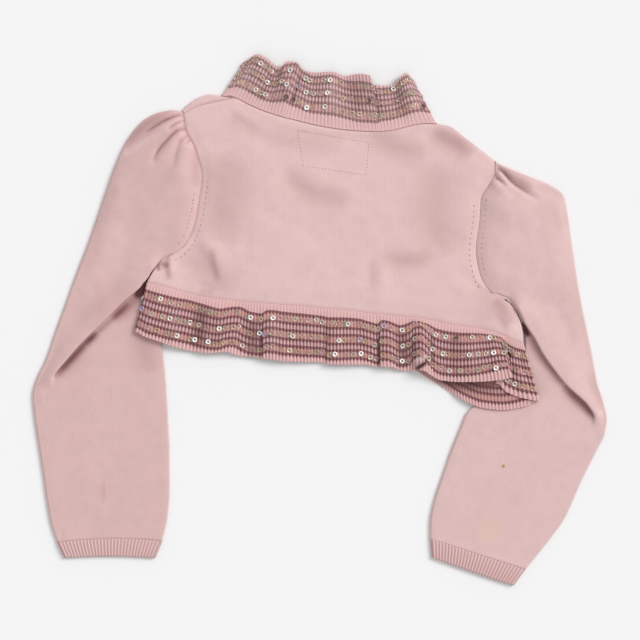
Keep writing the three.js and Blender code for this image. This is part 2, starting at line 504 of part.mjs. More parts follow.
const FLAP_ANGLES = [-45, 0, 45, 90]; // of the turn over the left shoulder, up from level
const FLAP_ROWS = FLAP_ANGLES.length + 2;
const FLAP_SPREAD = 0.8; // how far its middle row keeps clear of the seam at the neck
function leftFrontGeometry() {
  const hem = seamStretch(hemTrim, beforeFold(leftHemFold), 0, HEM_DEPTH);
  const neck = flat(seamStretch(neckTrim, leftNeckFold[0] - 2 * SEAM_GAP, 0, HIDDEN_NECK_DEPTH));
  const shoulder = smoothPath([...places(LEFT_SHOULDER_FOLD), neck(0)]);
  const top = chain([shoulder, neck], [FRONT_SHOULDER_SHARE, 1]);
  const left = chain([sidePath(hem(0), LEFT_SIDE), armholePath(top(0), LEFT_ARMHOLE)], [ARMPIT.left, 1]);
  const right = straight(hem(1).slice(0, 2), top(1));
  const shape = { hem, top, left, right, level: FRONT_LEVEL, kinks: [ARMPIT.left] };
  const turned = { left: true, right: false, shoulder: () => false };
  const grid = panelGrid(shape, { columns: 16, rows: 9, size: LEFT_FRONT_SIZE, turned, up: 1 });
  const { points, quads, us, vs } = grid;
  // The shoulder's edge goes over the fold and down to the seam on the back
  const seamRows = [...places(LEFT_SHOULDER_SEAM), LEFT_SEAM_END];
  const seam = smoothPath(seamRows.map(([x, y]) => [x - SEAM_GAP, y + 1.5 * SEAM_GAP]));
  const shoulderColumns = us.filter((u) => u <= FRONT_SHOULDER_SHARE).length;
  const near = 1 / shoulderColumns;
  for (let i = 0; i < shoulderColumns; i += 1) {
    const share = us[i] / FRONT_SHOULDER_SHARE;
    const [fold, end] = [shoulder(share), seam(share)];
    const [before, after] = [shoulder(Math.max(share - near, 0)), shoulder(Math.min(share + near, 1))];
    const away = new THREE.Vector2(before[1] - after[1], after[0] - before[0]).normalize();
    for (const angle of FLAP_ANGLES.map(THREE.MathUtils.degToRad)) {
      const reach = TURN * Math.cos(angle);
      const height = MIDDLE_LEVEL + TURN * Math.sin(angle);
      points.push([fold[0] + away.x * reach, fold[1] + away.y * reach, height]);
    }
    const half = mixPoint(fold, end, 0.5);
    points.push([half[0], half[1] + FLAP_SPREAD * share, BACK_LEVEL], [...end, BACK_LEVEL]);
  }
  const first = us.length * vs.length;
  const at = (i, k) => (k === 0 ? (i + 1) * vs.length - 1 : first + i * FLAP_ROWS + k - 1);
  for (let i = 0; i < shoulderColumns - 1; i += 1) {
    for (let k = 0; k < FLAP_ROWS; k += 1) {
      quads.push([at(i, k), at(i + 1, k), at(i + 1, k + 1), at(i, k + 1)]);
    }
  }
  return clothWall(points, quads);
}

function rightFrontGeometry() {
  const hem = seamStretch(hemTrim, hemTrim.length, afterFold(rightHemFold), HEM_DEPTH);
  const neck = flat(seamStretch(neckTrim, neckTrim.length, rightNeckFold.at(-1), HIDDEN_NECK_DEPTH));
  const shoulder = smoothPath([neck(1), ...places(RIGHT_SHOULDER).reverse()]);
  const top = chain([neck, shoulder], [1 - FRONT_SHOULDER_SHARE, 1]);
  const left = straight(hem(0).slice(0, 2), top(0));
  const right = chain([sidePath(hem(1), RIGHT_SIDE), armholePath(top(1), RIGHT_ARMHOLE)], [ARMPIT.right, 1]);
  const shape = { hem, top, left, right, level: FRONT_LEVEL, kinks: [ARMPIT.right] };
  const turned = { left: false, right: true, shoulder: (u) => u > 1 - FRONT_SHOULDER_SHARE };
  const { points, quads } = panelGrid(shape, { columns: 16, rows: 9, size: RIGHT_FRONT_SIZE, turned, up: 1 });
  return clothWall(points, quads);
}

// The middle of a flattened tube's wall across one section, as [across, height] all round. Where the tuck
// flattens out, its points spread along the layer.
const TUBE_INSET = WALL / 2 + TURN;
const TUBE_UNDERSIDE_STEPS = 8;
const TUBE_TOP_STEPS = 10;
const TOP_CROWDING = 1.25; // above 1 the steps of the top lie closer together at the outer edge
const TUCK_STEPS = 3;
const TUCK_SPREAD = 0.8;
const TUCK_ROOM = 2.4; // between the crease and the inner edge, at least
const TUCK_RISE = 16; // over this width the layer climbs onto the tuck
const SMALLEST_TURN = 12; // degrees
const SMALLEST_DEPTH = 0.05;
const PUFF_BLUNTNESS = 0.8; // below 1 the puff rises more steeply from the edges
const PUFF_LEAN = 1.3; // the puff is higher towards the outer edge
const underside = (width) => (
  steps(width - TUBE_INSET, TUBE_INSET, TUBE_UNDERSIDE_STEPS).map((across) => [across, FRONT_LEVEL])
);
const EDGE_TURN_ANGLES = [45, 90, 135];
const edgeTurn = (centre, side) => EDGE_TURN_ANGLES.map(THREE.MathUtils.degToRad).map((angle) => (
  [centre + side * TURN * Math.sin(angle), MIDDLE_LEVEL + side * TURN * Math.cos(angle)]
));
function sleeveSection(row, width) {
  const turn = THREE.MathUtils.degToRad(Math.max(row.turn, SMALLEST_TURN));
  const spread = TUCK_SPREAD * (1 - row.turn / 180);
  const room = TUCK_ROOM + spread * (2 * TUCK_STEPS + 1);
  const crease = Math.min(row.crease * width - TUBE_INSET, width - TUBE_INSET - room);
  const drop = TURN * (1 - Math.cos(turn));
  const upper = BACK_LEVEL + 2 * drop;
  const riseFrom = Math.max(crease - row.depth - TUCK_RISE, TUBE_INSET);
  const top = steps(0, 1, TUBE_TOP_STEPS).map((t) => {
    const across = mix(TUBE_INSET, crease, t ** TOP_CROWDING);
    const share = across / width;
    const puff = row.puff * Math.sin(Math.PI * share) ** PUFF_BLUNTNESS * (PUFF_LEAN - share);
    return [across, BACK_LEVEL + 2 * drop * ease((across - riseFrom) / (crease - riseFrom)) + puff];
  });
  const angles = steps(0, turn, TUCK_STEPS).slice(1);
  const over = angles.map((angle) => [crease + TURN * Math.sin(angle), upper - TURN * (1 - Math.cos(angle))]);
  const back = Math.max(row.depth, SMALLEST_DEPTH) * Math.abs(Math.cos(turn));
  const foot = [crease + TURN * Math.sin(turn) - back, upper - drop];
  const under = [turn, ...angles.slice(0, -1).reverse(), 0].map((angle) => [
    foot[0] + TURN * (Math.sin(turn) - Math.sin(angle)),
    foot[1] - TURN * (Math.cos(angle) - Math.cos(turn)),
  ]);
  const tuck = [...over, ...under].map(([across, z], k) => [across + spread * (k + 1), z]);
  const lower = steps(tuck.at(-1)[0], width - TUBE_INSET, 3).slice(1).map((across) => [across, BACK_LEVEL]);
  const outerTurn = edgeTurn(TUBE_INSET, -1);
  const innerTurn = edgeTurn(width - TUBE_INSET, 1);
  return [...underside(width), ...outerTurn, ...top, ...tuck, ...lower, ...innerTurn];
}

// Places a section's points between the outer and inner edge of its row, curved by sag and by what bow adds
function placeSection(row, section, bow) {
  const across = [row.ix - row.ox, row.iy - row.oy];
  const width = Math.hypot(...across);
  return section.map(([distance, z]) => {
    const share = distance / width;
    const [bowX, bowY] = bow(share);
    const sag = (row.sag * 4 * share * (1 - share)) / width;
    const x = row.ox + across[0] * share + bowX - across[1] * sag;
    const y = row.oy + across[1] * share + bowY + across[0] * sag;
    return [x, y, z];
  });
}
const sectionWidth = (row) => Math.hypot(row.ix - row.ox, row.iy - row.oy);

// Depth of the gathers at a place: soft troughs along curved lines
function gatherDepth(gathers, x, y) {
  const depths = gathers.map((g) => {
    const line = new THREE.QuadraticBezierCurve(
      new THREE.Vector2(g.x0, g.y0), new THREE.Vector2(g.x1, g.y1), new THREE.Vector2(g.x2, g.y2),
    );
    const near = steps(0, 1, 12).map((t) => [line.getPoint(t).distanceTo(new THREE.Vector2(x, y)), t]);
    const [distance, t] = near.reduce((a, b) => (a[0] < b[0] ? a : b));
    return g.depth * Math.exp(-((distance / g.width) ** 2)) * Math.sqrt(1 - t);
  });
  return Math.max(...depths);
}

const PUFFED = 0.4; // a point is on the puff if it lies this far above the layer
function sleeveGeometry(rows, armhole, gathers) {
  const curve = smoothPath(places(armhole));
  const sections = rows.map((row) => {
    const bow = (share) => {
      const chord = mixPoint(curve(0), curve(1), share);
      return curve(share).map((v, k) => row.armhole * (v - chord[k]));
    };
    return placeSection(row, sleeveSection(row, sectionWidth(row)), bow).map(([x, y, z]) => {
      const room = z - BACK_LEVEL;
      return [x, y, room > PUFFED ? z - Math.min(gatherDepth(gathers, x, y), room - PUFFED / 2) : z];
    });
  });
  return clothWall(sections.flat(), tubeQuads(sections.length, sections[0].length));
}

// A short ribbed tube; the ribs stand on its upper side
function cuffGeometry(rows) {
  const ribs = Math.round((sectionWidth(rows[0]) - 2 * TUBE_INSET) / CUFF_RIB_PITCH);
  const sections = steps(0, 1, CUFF_SECTIONS).map((t) => {
    const between = (name) => [name, mix(rows[0][name], rows[1][name], t)];
    const row = Object.fromEntries(CUFF_COLUMNS.split(' ').map(between));
    const width = sectionWidth(row);
    const top = steps(TUBE_INSET, width - TUBE_INSET, ribs).map((across) => [across, BACK_LEVEL]);
    const [outerTurn, innerTurn] = [edgeTurn(TUBE_INSET, -1), edgeTurn(width - TUBE_INSET, 1)];
    return placeSection(row, [...underside(width), ...outerTurn, ...top, ...innerTurn], () => [0, 0]);
  });
  const ring = sections[0].length;
  const firstRib = TUBE_UNDERSIDE_STEPS + 1 + EDGE_TURN_ANGLES.length;
  const quads = tubeQuads(sections.length, ring);
  const ribbed = quads.map((_, index) => index).filter((index) => {
    const place = (index % ring) - firstRib;
    return place >= 0 && place < ribs;
  });
  return clothWall(sections.flat(), quads, new Set(ribbed));
}

const jersey = new THREE.MeshStandardMaterial({ color: 0xd9b6b4, roughness: 0.95, metalness: 0 });
const trimKnit = new THREE.MeshStandardMaterial({ color: 0xb08890, roughness: 0.9, metalness: 0 });
const cuffKnit = new THREE.MeshStandardMaterial({ color: 0xcfa8a6, roughness: 0.95, metalness: 0 });
const pieces = [
  ['back', backGeometry(), jersey],
  ['left_front', leftFrontGeometry(), jersey],
  ['right_front', rightFrontGeometry(), jersey],
  ['left_sleeve', sleeveGeometry(LEFT_SLEEVE, LEFT_ARMHOLE, LEFT_GATHERS), jersey],
  ['right_sleeve', sleeveGeometry(RIGHT_SLEEVE, RIGHT_ARMHOLE, RIGHT_GATHERS), jersey],
  ['left_cuff', cuffGeometry(LEFT_CUFF), cuffKnit],
  ['right_cuff', cuffGeometry(RIGHT_CUFF), cuffKnit],
  ['neck_trim', trimGeometry(neckTrim, false), trimKnit],
  ['hem_trim', trimGeometry(hemTrim, true), trimKnit],
];
const cardigan = new THREE.Group();
for (const [name, geometry, material] of pieces) {
  const mesh = new THREE.Mesh(geometry, material);
  mesh.name = name;
  cardigan.add(mesh);
}

export default cardigan;
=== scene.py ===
import math

import bpy
import numpy as np
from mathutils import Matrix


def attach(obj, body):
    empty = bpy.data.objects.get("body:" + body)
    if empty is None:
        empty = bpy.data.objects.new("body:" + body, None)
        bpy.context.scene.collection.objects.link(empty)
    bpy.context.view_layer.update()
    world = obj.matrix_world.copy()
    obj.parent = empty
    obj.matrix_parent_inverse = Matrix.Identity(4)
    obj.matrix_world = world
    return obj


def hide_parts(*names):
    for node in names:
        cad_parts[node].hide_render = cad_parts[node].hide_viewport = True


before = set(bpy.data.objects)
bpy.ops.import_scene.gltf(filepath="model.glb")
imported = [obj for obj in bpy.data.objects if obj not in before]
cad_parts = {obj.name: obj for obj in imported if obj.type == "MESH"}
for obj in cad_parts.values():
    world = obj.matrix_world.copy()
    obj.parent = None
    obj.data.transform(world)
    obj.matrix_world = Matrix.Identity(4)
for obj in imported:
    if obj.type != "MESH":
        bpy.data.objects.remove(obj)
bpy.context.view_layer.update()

MM = 0.001  # the sizes below are in millimetres

# Cloth
KNIT = 1.1  # thickness of the knit
LAYER = 1.8  # from the middle of one layer to the middle of the next
FRONT_LEVEL = 0.7  # height of the lower layer's middle
BACK_LEVEL = FRONT_LEVEL + LAYER
MIDDLE_LEVEL = (FRONT_LEVEL + BACK_LEVEL) / 2
TURN = LAYER / 2
TURN_STEPS = 4
TUBE_INSET = 1.6
SEAM_GAP = 0.45
PANEL_SHARE = 0.3  # how much of a seam's gap a panel stays short of its trim
STITCH_SHARE = 0.15  # where the seam's stitches run in the gap
RIB_PITCH = 2.7
CUFF_RIB_PITCH = 2.8

# The cloth's own unevenness: how high its waves are, how long, and how many run together
BACK_WAVES = ((0.28, 46, 9), (0.1, 17, 12))
SLEEVE_WAVES = ((0.4, 44, 9), (0.14, 16, 12))
TRIM_WAVES = ((0.32, 15, 10), (0.12, 6, 12))

LEFT_FRONT_EDGE = 8.2
RIGHT_FRONT_EDGE = 9.8

# Armhole seams from the shoulder down to the armpit
LEFT_ARMHOLE = np.array([
    [-109.2, 166.2], [-107, 152], [-99, 135], [-94.2, 114],
    [-96, 98], [-100.5, 75], [-110, 57.5], [-126, 48.2],
])
RIGHT_ARMHOLE = np.array([
    [139.8, 126.6], [139.5, 117], [135, 108], [128.5, 96], [127.5, 80],
    [124.5, 56], [127.5, 37], [136, 22.5], [146, 16.3],
])
LEFT_SIDE = np.array([[-126, 48.2], [-129.5, 43.5], [-134.5, 35.8]])
RIGHT_SIDE = np.array([[146, 16.3], [152.6, 11.8], [157.2, 4], [160, -3.5], [161.3, -11]])
LEFT_SHOULDER_FOLD = np.array([[-109.2, 166.2], [-104.4, 171.2], [-96, 176.8], [-88, 178.9]])
LEFT_SHOULDER_SEAM = np.array([[-108.9, 164.9], [-100, 169.8], [-91, 172.6], [-80, 175]])
LEFT_SEAM_END = np.array([-67.2, 177.1])
RIGHT_SHOULDER = np.array([[139.4, 126.8], [127, 136.6], [114, 146.6], [104, 154]])

# Ribbed trims. A row is one rib from the seam (sx, sy, sz) to the free edge (ex, ey, ez). bow lifts its
# middle, st and et turn the seam and the edge over by that height, and shown is 1 where its face lies up.
TRIM_COLUMNS = "sx sy sz ex ey ez bow st et shown"
NECK_TRIM = [
    (LEFT_FRONT_EDGE, 121, 0.7, LEFT_FRONT_EDGE, 156, 0.7, 0, 0, 0, 0),
    (-20, 124, 0.7, -11, 159, 0.7, 0, 0, 0, 0),
    (-48, 138, 0.7, -31, 170, 0.7, 0, 0, 0, 0),
    (-66, 157, 0.7, -47, 189, 0.7, 0, 0, 0, 0),
    (-75, 173, 0.7, -55.5, 203, 0.7, 0, 0, 0, 0),
    (-77, 178.6, 0.7, -58, 207, 0.7, 0, 1.8, 1.8, 1),
    (-73, 179.4, 2.5, -54.5, 210.4, 2.9, 0, 0, 0, 1),
    (-67, 177.6, 2.5, -50, 212.4, 4.2, 0.4, 0, 0, 1),
    (-58, 173, 2.5, -42, 209, 4.6, 0.8, 0, 0, 1),
    (-48, 168.5, 2.5, -33, 202.6, 3.0, 0.6, 0, 0, 1),
    (-43.5, 166.7, 2.5, -29.3, 203.4, 3.6, 0.2, 0, 0, 1),
    (-38, 165, 2.5, -26, 206.6, 6.4, 0.4, 0, 0, 1),
    (-31, 162.8, 2.5, -18.5, 206, 6.6, 0.6, 0, 0, 1),
    (-27, 161.6, 2.5, -15.2, 202, 4.6, 0.4, 0, 0, 1),
    (-20, 160, 2.5, -11, 199.2, 2.8, 0, 0, 0, 1),
    (-8, 157, 2.5, -3, 198, 3.4, 0.4, 0, 0, 1),
    (8, 153.8, 2.5, 9, 198.6, 4.6, 0.6, 0, 0, 1),
    (22, 152, 2.5, 20, 195.4, 3.0, 0.2, 0, 0, 1),
    (36, 151, 2.5, 31, 196.8, 4.4, 0.6, 0, 0, 1),
    (45.5, 150.8, 2.5, 39.6, 195.4, 5.6, 0.8, 0, 0, 1),
    (48.5, 150.9, 2.5, 42.4, 188.4, 3.0, 0.2, 0, 0, 1),
    (56, 151.5, 2.5, 52, 187.6, 2.8, 0, 0, 0, 1),
    (66, 153.8, 2.5, 60, 189, 3.4, 0, 0, 0, 1),
    (75, 156, 2.5, 65, 195.4, 5.6, 0.4, 0, 0, 1),
    (84, 157.2, 2.5, 68.4, 197.4, 4.6, 0.4, 0, 0, 1),
    (91.6, 157, 2.5, 71.4, 195, 2.5, 0, -1.8, -1.8, 1),
    (88, 149, 0.7, 68, 190, 0.7, 0, 0, 0, 0),
    (80, 139, 0.7, 56, 179, 0.7, 0, 0, 0, 0),
    (62, 129, 0.7, 39, 166, 0.7, 0, 0, 0, 0),
    (38, 122.6, 0.7, 24, 159, 0.7, 0, 0, 0, 0),
    (RIGHT_FRONT_EDGE, 121, 0.7, RIGHT_FRONT_EDGE, 156, 0.7, 0, 0, 0, 0),
]
HEM_TRIM = [
    (LEFT_FRONT_EDGE, 10.5, 0.7, LEFT_FRONT_EDGE, -31, 0.7, 0, 0, 0, 0),
    (-30, 13.5, 0.7, -32, -28.5, 0.7, 0, 0, 0, 0),
    (-66, 17, 0.7, -70, -23, 0.7, 0, 0, 0, 0),
    (-98, 21.5, 0.7, -104, -19, 1.4, 0, 0, 0, 0),
    (-119, 26, 2.0, -122.5, -15, 4.4, 0.9, 0, 0, 0),
    (-130, 28.6, 4.3, -139, -10.5, 4.3, 0, 0, 0, 0),
    (-136.8, 29.8, 4.3, -146.8, -10, 4.3, 0, 1.8, 1.8, 1),
    (-130, 28.4, 6.1, -140, -13.6, 6.5, 0, 0, 0, 1),
    (-120, 25.6, 4.9, -129, -17.4, 6.6, 0.6, 0, 0, 1),
    (-107, 22, 2.9, -116, -21.8, 5.2, 0.5, 0, 0, 1),
    (-97, 19.6, 2.5, -103, -25, 3.0, 0.1, 0, 0, 1),
    (-85, 17.4, 2.5, -89, -26.8, 4.6, 0.6, 0, 0, 1),
    (-70, 15.6, 2.5, -74, -26, 4.8, 0.6, 0, 0, 1),
    (-61, 14.8, 2.5, -66, -28.6, 3.0, 0, 0, 0, 1),
    (-49, 13.8, 2.5, -49.5, -30.6, 2.9, -0.2, 0, 0, 1),
    (-45.5, 13.5, 2.5, -46, -31, 4.6, 0.5, 0, 0, 1),
    (-30, 12.3, 2.5, -31, -33, 5.0, 0.8, 0, 0, 1),
    (-12, 11, 2.5, -11, -33.8, 3.8, 0.4, 0, 0, 1),
    (3, 9.5, 2.5, 2, -34, 2.9, 0, 0, 0, 1),
    (7.5, 9.2, 2.5, 7, -35.6, 4.6, 0.4, 0, 0, 1),
    (22, 8, 2.5, 22, -36, 4.8, 0.8, 0, 0, 1),
    (36, 6.2, 2.5, 37, -36, 3.6, 0.2, 0, 0, 1),
    (45, 5, 2.5, 46, -37.8, 2.9, -0.2, 0, 0, 1),
    (49.5, 4.6, 2.5, 49.5, -37.6, 5.6, 0.8, 0, 0, 1),
    (57, 4, 2.5, 57.5, -37.8, 5.2, 0.6, 0, 0, 1),
    (61.5, 3.6, 2.5, 62, -40, 3.1, 0, 0, 0, 1),
    (71, 2.8, 2.5, 72, -41, 3.0, 0, 0, 0, 1),
    (76, 2.2, 2.5, 76.4, -40.2, 5.8, 0.6, 0, 0, 1),
    (82, 1.2, 2.5, 82, -40.6, 8.6, 1.6, 0, 0, 1),
    (89, -0.2, 2.5, 88.6, -44.6, 5.8, 1.0, 0, 0, 1),
    (98, -2, 2.5, 97, -48.6, 4.4, 0.3, 0, 0, 1),
    (112, -4.5, 2.5, 112, -49.8, 6.6, 0.8, 0, 0, 1),
    (126, -6.6, 3.0, 130, -49.4, 8.8, 1.4, 0, 0, 1),
    (138, -9.4, 4.2, 145, -47.8, 9.9, 1.8, 0, 0, 1),
    (144.5, -11.7, 5.0, 152.6, -46, 9.9, 1.6, 0, -1.7, 1),
    (148, -13, 5.6, 146, -48.4, 8.2, 0.6, 0, 0, 0),
    (149.4, -13.6, 5.9, 141.2, -51, 8.2, 0, 0, -2.1, 0),
    (151.4, -14.6, 6.1, 148.4, -57.6, 6.1, -0.5, 0, 0, 1),
    (156, -16.8, 6.1, 161, -62.4, 6.1, 0, 0, 0, 1),
    (161, -18.4, 6.1, 174, -65, 6.1, 0, -1.8, -1.8, 1),
    (156.4, -24.6, 4.3, 164, -69.4, 4.3, 0, 0, 0, 0),
    (141, -28.6, 3.0, 146, -72.2, 4.3, 0.9, 0, 0, 0),
    (127, -27.5, 1.0, 131, -70.8, 4.3, 0.9, 0, 0, 0),
    (111, -22, 0.7, 116, -65.2, 3.4, 0, 0, 0, 0),
    (96, -13, 0.7, 101, -55.6, 0.8, 0, 0, 0, 0),
    (81, -4, 0.7, 86, -46.6, 0.7, 0, 0, 0, 0),
    (66, 2.5, 0.7, 71, -38, 0.7, 0, 0, 0, 0),
    (40, 7.5, 0.7, 42, -33, 0.7, 0, 0, 0, 0),
    (RIGHT_FRONT_EDGE, 10.8, 0.7, RIGHT_FRONT_EDGE, -31, 0.7, 0, 0, 0, 0),
]

# Sleeves. A row is one section from the outer edge (ox, oy) to the inner edge (ix, iy). armhole is how much
# of the armhole's curve it keeps, sag curves it and puff lifts the gathered head. The long tuck has its
# crease at the share crease of the width, folds over by turn degrees and goes back under by depth.
SLEEVE_COLUMNS = "ox oy ix iy armhole sag puff crease turn depth"
LEFT_SLEEVE = [
    (-109.6, 166.5, -126.4, 48.5, 1, 0, 0, 0.97, 0, 0),
    (-118, 168, -126.9, 47.6, 0.9, 0, 2.6, 0.97, 0, 0),
    (-128, 166.5, -127.4, 46.4, 0.78, 0, 3.4, 0.97, 0, 0),
    (-137.5, 162.5, -128.2, 44.9, 0.66, 0, 3.4, 0.97, 0, 0),
    (-146, 155, -129.1, 43.4, 0.54, 0, 3.2, 0.97, 20, 0),
    (-155, 142, -130.2, 41.6, 0.4, 0, 2.8, 0.97, 60, 0),
    (-165, 119.5, -131.5, 39.5, 0.26, 0, 2.2, 0.97, 110, 0),
    (-174.5, 92, -132.8, 37.1, 0.12, 0, 1.4, 0.975, 160, 0),
    (-186, 59, -134, 34.2, 0, 0, 0.6, 0.975, 180, 5),
    (-194.5, 37, -138, 27.2, 0, 0, 0.2, 0.93, 180, 12),
    (-203, 13, -137, 14, 0, 0, 0, 0.68, 180, 15),
    (-211, -9, -131.5, -2, 0, 0, 0, 0.41, 180, 13),
    (-219, -32, -127, -16, 0, 0, 0, 0.21, 180, 6),
    (-226.5, -48, -124.7, -32, 0, 0, 0, 0.13, 130, 0),
    (-229.5, -60, -123.3, -46, 0, 0, 0, 0.12, 0, 0),
    (-228, -78, -122, -66, 0, 0, 0, 0.12, 0, 0),
    (-225, -98, -120.8, -88, 0, 0, 0, 0.12, 0, 0),
    (-221, -124, -120, -112, 0, 0, 0, 0.12, 0, 0),
    (-218, -146, -120, -136, 0, 0, 0, 0.12, 0, 0),
    (-214.8, -163, -121.5, -157, 0, 1, 0, 0.12, 0, 0),
    (-210, -177.4, -126, -176.4, 0, 2.4, 0, 0.12, 0, 0),
]
RIGHT_SLEEVE = [
    (140.2, 126.7, 146.4, 16.4, 1, 0, 0, 0.97, 0, 0),
    (155, 120, 149, 16.3, 0.9, 0, 2.2, 0.97, 0, 0),
    (171, 113.5, 151, 14.5, 0.76, 0, 3, 0.97, 0, 0),
    (185, 107.5, 153.6, 12.6, 0.62, 0, 3, 0.97, 20, 0),
    (194.5, 100, 155.3, 9.9, 0.48, 0, 2.8, 0.97, 60, 0),
    (198, 84, 156.8, 7.2, 0.34, 0, 2.2, 0.97, 110, 0),
    (201, 63, 158.4, 4.5, 0.2, 0, 1.4, 0.97, 160, 0),
    (204.5, 40, 160.3, -0.6, 0.08, 0, 0.6, 0.97, 180, 5),
    (208, 20, 162.2, -7.8, 0, 0, 0.2, 0.935, 180, 12),
    (212, 0, 163.8, -18, 0, 0, 0, 0.845, 180, 14),
    (217, -24, 158, -42, 0, 0, 0, 0.58, 180, 14),
    (222, -50, 143, -59, 0, 0, 0, 0.31, 180, 11),
    (227.4, -68, 128, -67, 0, 0, 0, 0.14, 180, 0),
    (229.5, -79, 118, -73.4, 0, 0, 0, 0.09, 110, 0),
    (228, -90, 112, -87, 0, 0, 0, 0.09, 0, 0),
    (221, -105, 105.5, -103, 0, 0, 0, 0.09, 0, 0),
    (210, -127, 98.5, -123, 0, 0, 0, 0.09, 0, 0),
    (196, -158, 90, -150, 0, 0, 0, 0.09, 0, 0),
    (184, -175, 88, -163, 0, 0, 0, 0.09, 0, 0),
    (164.4, -199.6, 88, -174.6, 0, 0, 0, 0.09, 0, 0),
]
# The lines that the sleeves' columns of stitches follow
LEFT_GRAIN = [(-128, 190), (-150, 100), (-168, 20), (-175, -50), (-170, -120), (-168, -220)]
RIGHT_GRAIN = [(150, 150), (175, 80), (185, 0), (175, -70), (150, -140), (118, -220)]
# The gathered heads: middle, reach and how full
LEFT_HEAD = (-112, 154, 20, 2.4)
RIGHT_HEAD = (146, 119, 18, 2.0)
CUFF_COLUMNS = "ox oy ix iy sag"
LEFT_CUFF = [(-210, -177.4, -126, -176.4, 2.4), (-204.2, -190, -131.6, -190, 1.4)]
RIGHT_CUFF = [(164.4, -199.6, 88, -174.6, 0), (155.4, -212.2, 89, -189.2, 0.6)]

# Creases: a line, how wide and how high (a trough is below zero), on one piece
BACK_CREASES = [
    ([(-100, 62), (-92, 48), (-84, 34)], 5.0, -0.7),
    ([(-96, 70), (-86, 52), (-78, 38)], 7.0, 0.9),
    ([(-97, 28), (-90, 26), (-82, 25)], 3.0, -0.6),
    ([(-64, 160), (-52, 150), (-38, 140)], 8.0, -0.9),
    ([(-72, 172), (-60, 162), (-48, 156)], 4.0, 0.6),
    ([(76, 151), (98, 143), (116, 134)], 7.0, -0.9),
    ([(84, 156), (104, 149), (122, 138)], 4.0, 0.5),
    ([(-32, 118), (-2, 99), (20, 94)], 9.0, -0.7),
    ([(-20, 122), (6, 108), (34, 100)], 9.0, 0.6),
    ([(41, 47), (40.5, 33), (39, 19)], 4.5, -0.7),
    ([(50, 50), (49, 34), (47, 18)], 6.0, 0.6),
    ([(-58, 76), (-59, 62), (-58, 50)], 5.0, -0.6),
    ([(54, 47), (70, 46), (86, 46)], 6.0, -0.6),
    ([(96, 60), (110, 44), (124, 30)], 8.0, 0.6),
    ([(104, 48), (118, 34), (134, 20)], 6.0, -0.7),
    ([(140, 4), (146, -6), (149, -13)], 4.0, -0.8),
    ([(-122, 44), (-119, 52), (-112, 60)], 3.0, 0.9),
    ([(-70, 120), (-66, 100), (-66, 84)], 10.0, -0.5),
    ([(70, 110), (76, 90), (80, 74)], 11.0, 0.5),
]
# Gathers start at the armhole seam and run out
LEFT_GATHERS = [
    ([(-109.4, 164), (-121.7, 159.4), (-130.3, 154.4), (-138.9, 148.3), (-156, 132.6)], 2.6, -4.6),
    ([(-108.8, 159.5), (-113.1, 157.6), (-122, 151.5)], 1.7, -3.4),
    ([(-108, 153), (-115.3, 149.7), (-123.1, 141.8), (-128.9, 134.7), (-134, 123)], 2.3, -5.0),
    ([(-105.6, 147.6), (-113.1, 140.4), (-118, 120)], 2.4, -3.0),
    ([(-103.4, 144.4), (-108, 139)], 1.3, -2.0),
    ([(-109, 161.6), (-122, 155.6), (-138, 144.6), (-156, 129)], 2.6, 2.2),
    ([(-108.4, 156.2), (-118, 149.8), (-128, 138)], 2.2, 1.6),
    ([(-107, 149.8), (-118, 141), (-127, 126)], 3.4, 1.8),
    ([(-104, 141), (-110, 128), (-114, 112)], 5.0, 1.0),
    ([(-110, 166), (-132, 161), (-150, 148)], 4.0, 0.8),
]
LEFT_CREASES = [
    ([(-104, 100), (-118, 84), (-132, 70)], 8.0, -0.9),
    ([(-110, 110), (-132, 88), (-148, 70)], 9.0, 0.8),
    ([(-160, 116), (-168, 80), (-176, 50)], 8.0, 0.7),
    ([(-212, -40), (-180, -50), (-150, -52)], 8.0, -0.9),
    ([(-222, -56), (-190, -66), (-160, -64)], 9.0, 0.8),
    ([(-140, -60), (-136, -90), (-138, -116)], 7.0, 0.8),
    ([(-198, -96), (-194, -130), (-190, -158)], 10.0, 0.7),
    ([(-206, -172), (-200, -160), (-198, -146)], 3.0, -0.8),
    ([(-176, -174), (-174, -160), (-175, -148)], 3.2, -0.8),
    ([(-148, -174), (-149, -162), (-146, -150)], 3.0, -0.7),
    ([(-162, -175), (-161, -164), (-160, -152)], 4.0, 0.6),
]
RIGHT_GATHERS = [
    ([(140.2, 123), (146, 117.7), (153.1, 109.1), (164.6, 102), (176, 94)], 2.8, -4.8),
    ([(139.8, 114.6), (149.6, 106.3)], 1.9, -3.6),
    ([(140, 119.4), (147, 113.4), (155.3, 105.4), (168, 97)], 2.4, 2.2),
    ([(137.4, 111), (146, 102), (152, 92)], 4.0, 1.4),
    ([(146, 122), (168, 112), (188, 103)], 5.0, 0.8),
]
RIGHT_CREASES = [
    ([(132, 84), (150, 72), (168, 66)], 9.0, -0.8),
    ([(136, 98), (156, 86), (178, 80)], 9.0, 0.7),
    ([(134, 42), (152, 34), (170, 34)], 7.0, 0.8),
    ([(186, 60), (190, 30), (196, 0)], 9.0, 0.7),
    ([(132, -78), (160, -84), (192, -84)], 8.0, -0.8),
    ([(126, -90), (160, -98), (200, -96)], 9.0, 0.8),
    ([(120, -104), (116, -130), (108, -152)], 8.0, 0.7),
    ([(186, -112), (174, -142), (160, -170)], 9.0, 0.7),
    ([(150, -190), (156, -174), (164, -160)], 3.2, -0.8),
    ([(128, -184), (131, -170), (137, -158)], 3.0, -0.7),
    ([(104, -176), (106, -164), (110, -152)], 3.0, -0.6),
]
